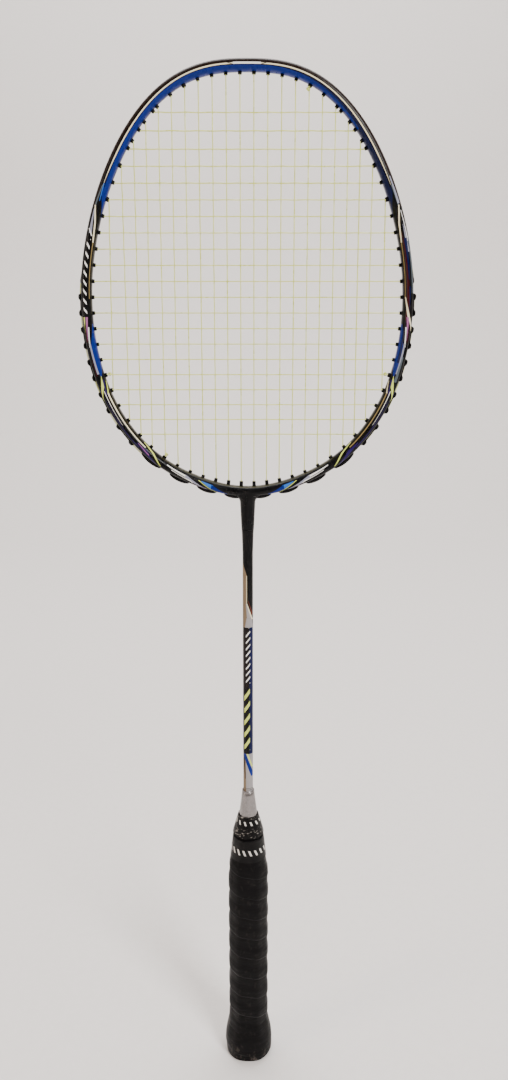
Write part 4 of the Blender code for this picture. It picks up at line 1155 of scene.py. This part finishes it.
# %% Wind the strip
PITCH, STRIP, FILM = 0.0165, 0.0245, 0.0005
GRIP_LOW, GRIP_HIGH = 0.0010, 0.1865
turns = (GRIP_HIGH - GRIP_LOW) / PITCH + 0.6
columns, rows = int(turns * 92), 15
deselect()
bpy.ops.mesh.primitive_grid_add(x_subdivisions=columns, y_subdivisions=rows, size=1.0)
overgrip = bpy.context.object
overgrip.name = "wound_overgrip"
flat = points_of(overgrip)
wound = (flat[:, 0] - flat[:, 0].min()) / np.ptp(flat[:, 0]) * turns
share = (flat[:, 1] - flat[:, 1].min()) / np.ptp(flat[:, 1])


def eased_start(value, ease):
    return np.where(value < ease, value * value / (2 * ease), value - ease / 2)


def strip_low(wound):
    return GRIP_LOW + PITCH * eased_start(np.where(wound < 1, 0.0, wound - 1), 0.3)


EDGE_EASE = 0.35
share = eased_start(share, EDGE_EASE) / (1 - EDGE_EASE / 2)
height = np.minimum(strip_low(wound) + STRIP * share, GRIP_HIGH)
below = np.where(wound > 1, strip_low(np.maximum(wound - 1, 0)) + STRIP, -1.0)
lifted = np.clip((below + 0.0010 - height) / 0.0016, 0, 1)
lifted = lifted * lifted * (3 - 2 * lifted)
edge = np.clip(share / 0.018, 0, 1)
angle = -2 * math.pi * wound + 1.1
radius = grip_radius(angle, height)
ripple = np.array([
    noise.noise(Vector((math.cos(a) * 3, math.sin(a) * 3, h * 420)))
    + 0.6 * noise.noise(Vector((math.cos(a) * 7, math.sin(a) * 7 + 5, h * 900 + a * 1.3)))
    for a, h in zip(angle, height)])
radius = radius - 0.0003 + FILM * lifted - 0.00022 * (1 - edge) * lifted + 0.00009 * ripple
place(overgrip, np.stack([radius * np.cos(angle), radius * np.sin(angle), height], -1))
deselect()
overgrip.select_set(True)
bpy.context.view_layer.objects.active = overgrip
bpy.ops.object.mode_set(mode="EDIT")
bpy.ops.mesh.select_all(action="SELECT")
bpy.ops.mesh.normals_make_consistent(inside=False)
bpy.ops.object.mode_set(mode="OBJECT")
for part in (overgrip.data.vertices, overgrip.data.edges, overgrip.data.polygons):
    for item in part:
        item.select = False
for face in overgrip.data.polygons:
    face.select = all(overgrip.data.vertices[i].co.z > GRIP_HIGH - 1e-6 for i in face.vertices)
bpy.ops.object.mode_set(mode="EDIT")
bpy.ops.mesh.select_mode(type="FACE")
bpy.ops.mesh.delete(type="FACE")
bpy.ops.object.mode_set(mode="OBJECT")
face_off_axis(overgrip)
thicken(overgrip, 0.00042)
smooth(overgrip, 50)
print("overgrip", round(turns, 1), "turns,", len(overgrip.data.polygons), "faces")

# %% [markdown]
# The film is polyurethane: nearly black, dull, with a fine pebble, and it shines where a hand has
# pressed it. Dust lies in scattered patches, most of it on the butt, which rubs on floors and bags.

# %% Overgrip film
film = Finish("overgrip_film_black", tone(4, 4, 5), 0.5, Specular_IOR_Level=0.08)
film_z = film.split(film.place())[2]
pebble = film.cells(1500.0)
crease = film.noise(160.0, 4.0, (1, 1, 3.2))
polish = film.noise(38.0, 3.0)
near_butt = film.ramp(film_z, 0.0, 0.016, 1.0, 0.0)
scuffs = film.ramp(film.noise(380.0, 6.0, (1, 1, 0.6)), 0.56, 0.7)
dust = film.math("MULTIPLY", scuffs, film.math("ADD", film.math("MULTIPLY", near_butt, 0.5), 0.05))
film.set("Base Color", film.mix(dust, film.mix(polish, tone(4, 4, 5), tone(9, 8, 9)), tone(104, 96, 88)))
film.set("Roughness", film.ramp(polish, 0.3, 0.7, 0.34, 0.62))
film.bump(pebble, 0.12, 0.00012)
film.bump(crease, 0.4, 0.0008)
finish_piece(overgrip, film, "overgrip")


# %% [markdown]
# ## Finishing tapes
# Two strips of vinyl tape hold the ends: one round the top of the overgrip, one over the joint
# between grip and cone. A tape is wound a little more than once, so its end shows as a fine step,
# and on a taper its edges stand slightly proud and crinkle.

# %% Wind a tape
def wind_tape(name, low, high, inner, thickness, node, seed):
    columns, rows = 150, 14
    deselect()
    bpy.ops.mesh.primitive_grid_add(x_subdivisions=columns, y_subdivisions=rows, size=1.0)
    tape = bpy.context.object
    tape.name = name
    flat = points_of(tape)
    wound = (flat[:, 0] - flat[:, 0].min()) / np.ptp(flat[:, 0]) * 1.16
    share = (flat[:, 1] - flat[:, 1].min()) / np.ptp(flat[:, 1])
    angle = 2 * math.pi * wound + 0.7
    ragged = np.array([noise.noise(Vector((math.cos(a) * 2.2, math.sin(a) * 2.2, seed))) for a in angle])
    to_edge = np.where(share > 0.5, 1, -1) * np.abs(2 * share - 1)
    height = low + (high - low) * share + ragged * 0.00045 * to_edge
    crinkle = np.array([noise.noise(Vector((math.cos(a) * 6, math.sin(a) * 6, h * 500 + seed)))
                        for a, h in zip(angle, height)])
    radius = inner(angle, height) + thickness * (1 + np.clip((wound - 1) / 0.02, 0, 1)) + 0.00007 * crinkle
    place(tape, np.stack([radius * np.cos(angle), radius * np.sin(angle), height], -1))
    deselect()
    tape.select_set(True)
    bpy.context.view_layer.objects.active = tape
    face_off_axis(tape)
    thicken(tape, thickness * 0.9)
    smooth(tape, 50)
    finish_piece(tape, vinyl, node)
    return tape


def over_grip(angle, height):
    return grip_radius(angle, height) + 0.00025


def over_cone(_angle, height):
    return np.interp(height, (0.1838, 0.1862, 0.1980), (0.0107, 0.0101, 0.0068))


vinyl = Finish("tape_vinyl_black", tone(4, 4, 5), 0.36, Specular_IOR_Level=0.12)
vinyl_x, vinyl_y, vinyl_z = vinyl.split(vinyl.place())
vinyl_height = vinyl.math("MULTIPLY", vinyl_z, 1000.0)
vinyl_front = vinyl.math("MULTIPLY", vinyl_y, -1.0)
vinyl_round = vinyl.math("MULTIPLY", vinyl.math("ARCTAN2", vinyl_x, vinyl_front), 10.0)
vinyl_ground = vinyl.mix(vinyl.noise(240.0, 4.0), tone(4, 4, 5), tone(12, 11, 11))
marks = slanted_bars(vinyl, vinyl_round, vinyl_height, vinyl_ground, tone(206, 202, 196),
                     -14, 14, 3.6, 0.35, 0.34, 173.2, 1.9)
marks = slanted_bars(vinyl, vinyl_round, vinyl_height, marks, tone(206, 202, 196),
                     -18, 18, 5.2, 0.5, 0.3, 194.0, 1.3)
rub = vinyl.ramp(vinyl.noise(420.0, 6.0, (1, 1, 2.2)), 0.55, 0.66)
worn_low = vinyl.ramp(vinyl.math("ABSOLUTE", vinyl.math("SUBTRACT", vinyl_height, 187.0)), 1.0, 4.0, 0.5, 0.0)
worn_top = vinyl.ramp(vinyl_height, 196.4, 197.8, 0.0, 0.9)
rub = vinyl.math("MULTIPLY", rub, vinyl.math("MAXIMUM", worn_low, worn_top))
marks = vinyl.mix(rub, marks, tone(170, 164, 156))
vinyl.set("Base Color", marks)
vinyl.set("Roughness", vinyl.ramp(vinyl.noise(320.0, 4.0), 0.3, 0.7, 0.28, 0.5))
vinyl.bump(vinyl.noise(260.0, 5.0, (1, 1, 2.5)), 0.35, 0.0004)
for tape in (
    wind_tape("wound_tape_lower", 0.1660, 0.1820, over_grip, 0.0003, "finish_tape_lower", 3.0),
    wind_tape("wound_tape_upper", 0.1842, 0.1980, over_cone, 0.0003, "finish_tape_upper", 8.0),
):
    print(tape.name, len(tape.data.polygons), "faces")

# %% [markdown]
# ## Butt
# The handle ends in a moulded cap with a round disc pressed into it. The disc on a real racket
# carries the maker's sign. Here it has two plain turned rings instead.

# %% Butt disc
low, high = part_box("cap_disc")
wide = high.x
disc = draw_up(
    "butt_disc",
    [(wide - 0.0004, low.z), (wide, low.z + 0.0003), (wide, high.z - 0.0002), (wide - 0.0002, high.z)],
    sides=64,
)
for vertex in disc.data.vertices:
    vertex.select = False
for edge in disc.data.edges:
    edge.select = False
for face in disc.data.polygons:
    face.select = face.normal.z < -0.9
bpy.ops.object.mode_set(mode="EDIT")
bpy.ops.mesh.select_mode(type="FACE")
for inset, sink in ((0.0012, 0.0), (0.0003, 0.00025), (0.0022, 0.0), (0.0003, -0.00025), (0.0025, 0.0)):
    bpy.ops.mesh.inset(thickness=inset)
    bpy.ops.transform.translate(value=(0, 0, sink))
bpy.ops.object.mode_set(mode="OBJECT")
smooth(disc, 30)
plate = Finish("disc_plastic_silver", tone(168, 168, 172), 0.35, Metallic=0.4)
plate_scratch = plate.noise(500.0, 4.0, (1, 0.15, 1))
plate.set("Roughness", plate.ramp(plate_scratch, 0.3, 0.7, 0.25, 0.5))
plate.set("Base Color", plate.mix(plate_scratch, tone(150, 150, 154), tone(180, 180, 184)))
plate.bump(plate_scratch, 0.15, 0.0001)
finish_piece(disc, plate, "cap_disc")

# %% [markdown]
# ## Cap and base grip
# The film rounds off the octagon, most of all at the butt, so the cap and the foam below it are
# modelled again with the same rounding: a circle is drawn up in rings, its vertices are set on the
# handle's radius, and a wall is given to the foam.


# %% Sleeves that follow the handle
def sleeve(name, levels, inset, node, finish, wall=0.0, sides=96):
    deselect()
    bpy.ops.mesh.primitive_circle_add(
        vertices=sides, radius=0.01, fill_type="NOTHING" if wall else "NGON",
        location=(0, 0, levels[0][0]))
    piece = bpy.context.object
    piece.name = name
    bpy.ops.object.transform_apply(location=True)
    bpy.ops.object.mode_set(mode="EDIT")
    bpy.ops.mesh.select_all(action="SELECT")
    draw = bpy.ops.mesh.extrude_edges_move if wall else bpy.ops.mesh.extrude_region_move
    for (below, _), (above, _) in zip(levels, levels[1:]):
        draw(TRANSFORM_OT_translate={"value": (0, 0, above - below)})
    bpy.ops.object.mode_set(mode="OBJECT")
    points = points_of(piece)
    heights, rims = np.array(levels).T
    angle = np.arctan2(points[:, 1], points[:, 0])
    rim = np.interp(points[:, 2], heights, rims)
    radius = grip_radius(angle, points[:, 2], inset) - rim
    points[:, 0], points[:, 1] = radius * np.cos(angle), radius * np.sin(angle)
    place(piece, points)
    face_out(piece)
    if wall:
        thicken(piece, wall)
    smooth(piece, 30)
    finish_piece(piece, finish, node)
    return piece


moulded = Finish("cap_plastic_moulded", tone(9, 9, 10), 0.5, Specular_IOR_Level=0.35)
orange_peel = moulded.noise(700.0, 3.0)
moulded.set("Base Color", moulded.mix(orange_peel, tone(7, 7, 8), tone(18, 18, 19)))
moulded.bump(orange_peel, 0.2, 0.0002)
foam = Finish("base_grip_open_foam", tone(22, 22, 24), 0.9)
pores = foam.cells(1400.0)
foam.set("Base Color", foam.mix(pores, tone(14, 14, 15), tone(34, 34, 36)))
foam.bump(pores, 0.5, 0.0003)
cap = sleeve("rounded_cap", [(0.0, 0.0006), (0.0004, 0.0001), (0.0010, 0.0), (0.0074, 0.0)],
    0.0011, "butt_cap", moulded)
low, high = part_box("base_grip")
soft = sleeve("foam_base", [(z, 0.0) for z in np.linspace(0.0076, high.z - 0.0005, 40)],
              0.0012, "base_grip", foam, wall=0.0009)
print("cap and base grip", len(cap.data.polygons) + len(soft.data.polygons), "faces")

# %% [markdown]
# ## The pieces that stay as they are
# The moulded insert in the throat, the wooden core and the staple are right as the CAD has them,
# and hidden. They still get real finishes: wood grain along the handle, drawn wire and resin.


# %% Finishes for the carried-over nodes
def refinish(node, finish):
    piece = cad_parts[node]
    piece.data.materials.clear()
    piece.data.materials.append(finish.material)


wood = Finish("handle_wood_grain", tone(190, 150, 104), 0.6)
grain = wood.noise(220.0, 6.0, (1, 1, 0.06))
wood.set("Base Color", wood.mix(wood.ramp(grain, 0.3, 0.7), tone(204, 166, 118), tone(150, 108, 68)))
wood.bump(grain, 0.25, 0.0003)
refinish("handle_core", wood)

wire = Finish("staple_wire_drawn", tone(176, 176, 178), 0.34, Metallic=1.0)
drawn = wire.noise(900.0, 3.0, (0.1, 1, 1))
wire.set("Roughness", wire.ramp(drawn, 0.3, 0.7, 0.25, 0.5))
wire.bump(drawn, 0.1, 0.0001)
refinish("grip_staple", wire)

resin = Finish("insert_resin_grey", tone(38, 38, 40), 0.6)
flow = resin.noise(300.0, 5.0)
resin.set("Base Color", resin.mix(flow, tone(30, 30, 32), tone(52, 52, 54)))
resin.bump(flow, 0.2, 0.0002)
refinish("t_joint", resin)
